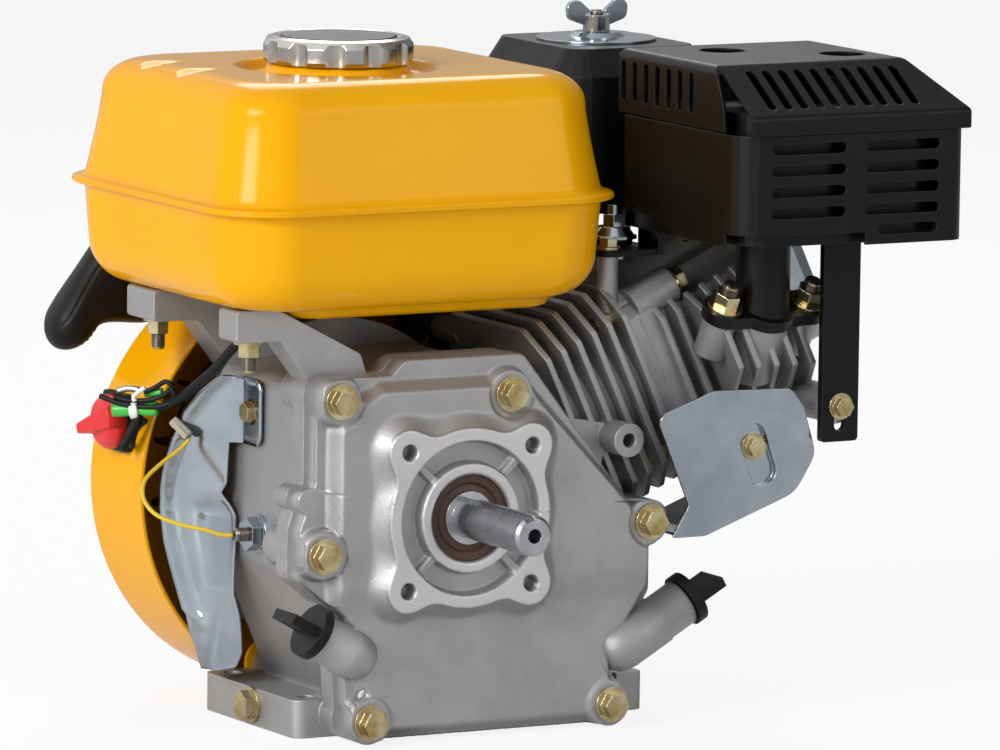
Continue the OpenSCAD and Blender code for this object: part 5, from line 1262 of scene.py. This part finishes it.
class NodeLooks:
    """Finishes of the solids that show as they are."""

    GROUPS: dict[Finish, str] = {
        CAST_ALLOY: "crankcase tank_arms side_cover cylinder_head piston flywheel carburettor",
        GALVANISED: "rocker_cover side_shroud lower_deflector float_bowl filter_washer wing_nut filter_stud "
                    "throttle_pivot oil_terminal",
        PLATED: "m8_bolts m6_bolts drain_plugs stud_nuts",
        OIL_SEAL: "oil_seals",
        MACHINED: "main_bearings crankshaft camshaft starter_cup",
        YELLOW_PAINT: "fan_cover recoil_housing tank_lower tank_upper filler_neck",
        BLACK_PAINT: "exhaust_pipe muffler muffler_guard guard_hood control_plate throttle_lever",
        BLACK_PLASTIC: "cooling_fan starter_reel starter_grip carburettor_spacer choke_lever "
                       "fuel_valve_lever air_filter_base air_filter_cover switch_body left_dipstick "
                       "right_dipstick ignition_coil",
        BLACK_RUBBER: "plug_cap cap_seal",
        CERAMIC: "spark_plug",
        CHROME: "fuel_cap",
        RED_PLASTIC: "switch_knob",
        FILTER_MEDIA: "filter_element",
    }

    def dress(self, nodes: dict[str, Thing], finishes: Finishes) -> None:
        """Gives each solid its finish.

        Args:
            nodes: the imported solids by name.
            finishes: the materials.
        """
        for finish, names in self.GROUPS.items():
            for name in names.split():
                solid = nodes[name]
                solid.data.materials.clear()
                solid.data.materials.append(finishes.get(finish))
                LOG.info("%s takes %s", name, finish.name)


@dataclass
class Studio:
    """Camera, floor and lights.

    Attributes:
        azimuth: side from which the camera looks, in degrees.
        elevation: height of the camera's line in degrees.
        roll: clockwise turn of the picture in degrees.
        distance: distance to the crank axis at the flange, in metres.
        focal: focal length in pixels of a picture 1000 wide.
        aim: pixel of the middle of the picture less the pixel of the crank axis.
        look: place that the lamps point at, in metres.
        bright_side: direction in which mirrors see the surroundings brightest.
        ambient: strength of the surroundings as a light.
        glow: share of plain white in the floor that the camera sees.
    """

    azimuth: float = -28.775
    elevation: float = 8.548
    roll: float = 0.786
    distance: float = 4.4635
    focal: float = 9575.5
    aim: Pair = (28.66, -143.39)
    look: Point = (0.02, 0.0, 0.16)
    bright_side: Point = (-0.95, 0.08, 0.3)
    ambient: float = 0.36
    glow: float = 0.86

    def axes(self) -> tuple[Array, Array, Array]:
        """Right, up and back of a camera that looks at the crank axis.

        Returns:
            The three directions.
        """
        a, e, r = (math.radians(v) for v in (self.azimuth, self.elevation, self.roll))
        back = np.array([math.sin(a) * math.cos(e), -math.cos(a) * math.cos(e), math.sin(e)])
        right = np.array([math.cos(a), math.sin(a), 0.0])
        up = np.cross(back, right)
        return math.cos(r) * right + math.sin(r) * up, math.cos(r) * up - math.sin(r) * right, back

    def camera(self) -> None:
        """Camera of the picture, turned so that its middle is the picture's middle."""
        right, up, back = self.axes()
        ahead = unit(-self.focal * back + self.aim[0] * right - self.aim[1] * up)
        side = unit(np.cross(ahead, up))
        lens = bpy.data.cameras.new("camera")
        lens.sensor_width = 36.0
        lens.lens = self.focal * lens.sensor_width / 1000
        lens.clip_end = 50.0
        eye = bpy.data.objects.new("camera", lens)
        turn = Matrix(np.stack([side, np.cross(side, ahead), -ahead], axis=1).tolist()).to_4x4()
        eye.matrix_world = Matrix.Translation(Vector(spot((0, 0, 0)) + self.distance * back)) @ turn
        bpy.context.scene.collection.objects.link(eye)
        bpy.context.scene.camera = eye

    def lamp(self, name: str, place: Point, size: float, power: float) -> None:
        """Square soft light.

        Args:
            name: name of the lamp.
            place: where it hangs, in metres.
            size: side of the square in metres.
            power: power in watts.
        """
        light = bpy.data.lights.new(name, "AREA")
        light.size = size
        light.energy = power
        lamp = bpy.data.objects.new(name, light)
        lamp.location = place
        lamp.rotation_euler = (Vector(place) - Vector(self.look)).to_track_quat("Z", "Y").to_euler()
        bpy.context.scene.collection.objects.link(lamp)

    def floor(self) -> None:
        """Plain pale floor, mostly white to the camera, that keeps the engine's shadow."""
        side = np.linspace(-6.0, 6.0, 9)
        grid = np.stack(np.broadcast_arrays(side[None, :], side[:, None], np.float64(-0.0002)), axis=-1)
        ground = surface("floor", grid, around=False)
        material = bpy.data.materials.new("pale_floor")
        tree = Tree.fresh(material)
        rays = tree.add("LightPath").outputs
        matt = tree.add("BsdfPrincipled", {"Base Color": (0.86, 0.86, 0.86, 1.0), "Roughness": 0.9})
        glow = tree.add("Emission", {"Color": (1.0, 1.0, 1.0, 1.0), "Strength": 1.0})
        share = tree.maths("MULTIPLY", rays["Is Camera Ray"], self.glow)
        mixed = tree.add("MixShader", {0: share, 1: matt.outputs[0], 2: glow.outputs[0]})
        tree.add("OutputMaterial", {"Surface": mixed.outputs[0]})
        ground.data.materials.append(material)

    def world(self) -> None:
        """White surroundings for the camera, dimmer to the right in mirrors, and soft light for the rest."""
        surroundings = bpy.data.worlds.new("studio")
        tree = Tree.fresh(surroundings)
        rays = tree.add("LightPath").outputs
        facing = tree.dot(tree.add("TexCoord").outputs["Generated"], self.bright_side)
        mirrored = tree.spread(facing, -0.62, 0.45, 0.2, 1.0)
        more = tree.maths("SUBTRACT", mirrored, self.ambient)
        lit = tree.maths("MULTIPLY_ADD", rays["Is Glossy Ray"], more, self.ambient)
        seen = tree.maths("MAXIMUM", rays["Is Camera Ray"], rays["Is Transmission Ray"])
        strength = tree.maths("MAXIMUM", seen, lit)
        sky = tree.add("Background", {"Color": (1.0, 1.0, 1.0, 1.0), "Strength": strength})
        tree.add("OutputWorld", {"Surface": sky.outputs[0]})
        bpy.context.scene.world = surroundings

    def build(self) -> None:
        """Sets up camera, floor, surroundings and lamps."""
        self.camera()
        self.floor()
        self.world()
        self.lamp("key", (-2.0, -0.8, 1.1), 0.9, 42.0)
        self.lamp("fill", (1.2, -1.9, 0.9), 1.2, 8.0)
        self.lamp("back", (0.7, 1.5, 1.7), 1.0, 16.0)
        bpy.context.scene.view_settings.view_transform = "Standard"


def main() -> None:
    """Loads the frame, dresses the solids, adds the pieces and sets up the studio."""
    logging.basicConfig(level=logging.INFO, format="%(message)s")
    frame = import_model()
    Studio().build()
    finishes = Finishes()
    NodeLooks().dress(frame["nodes"], finishes)
    makers = (SideCover, FuelTank, SideShroud, Threads, Leads, CapTop, Rope, PullGrip, SwitchKnob)
    for piece in (piece for maker in makers for piece in maker().build()):
        piece.thing.data.materials.append(finishes.get(piece.finish))
        piece.slot
        if piece.body:
            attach(piece.thing, piece.body)
        if piece.stands_for:
            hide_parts(*piece.stands_for)
        LOG.info("%s on %s", piece.thing.name, piece.body or "its two bodies")


if __name__ == "__main__":
    main()
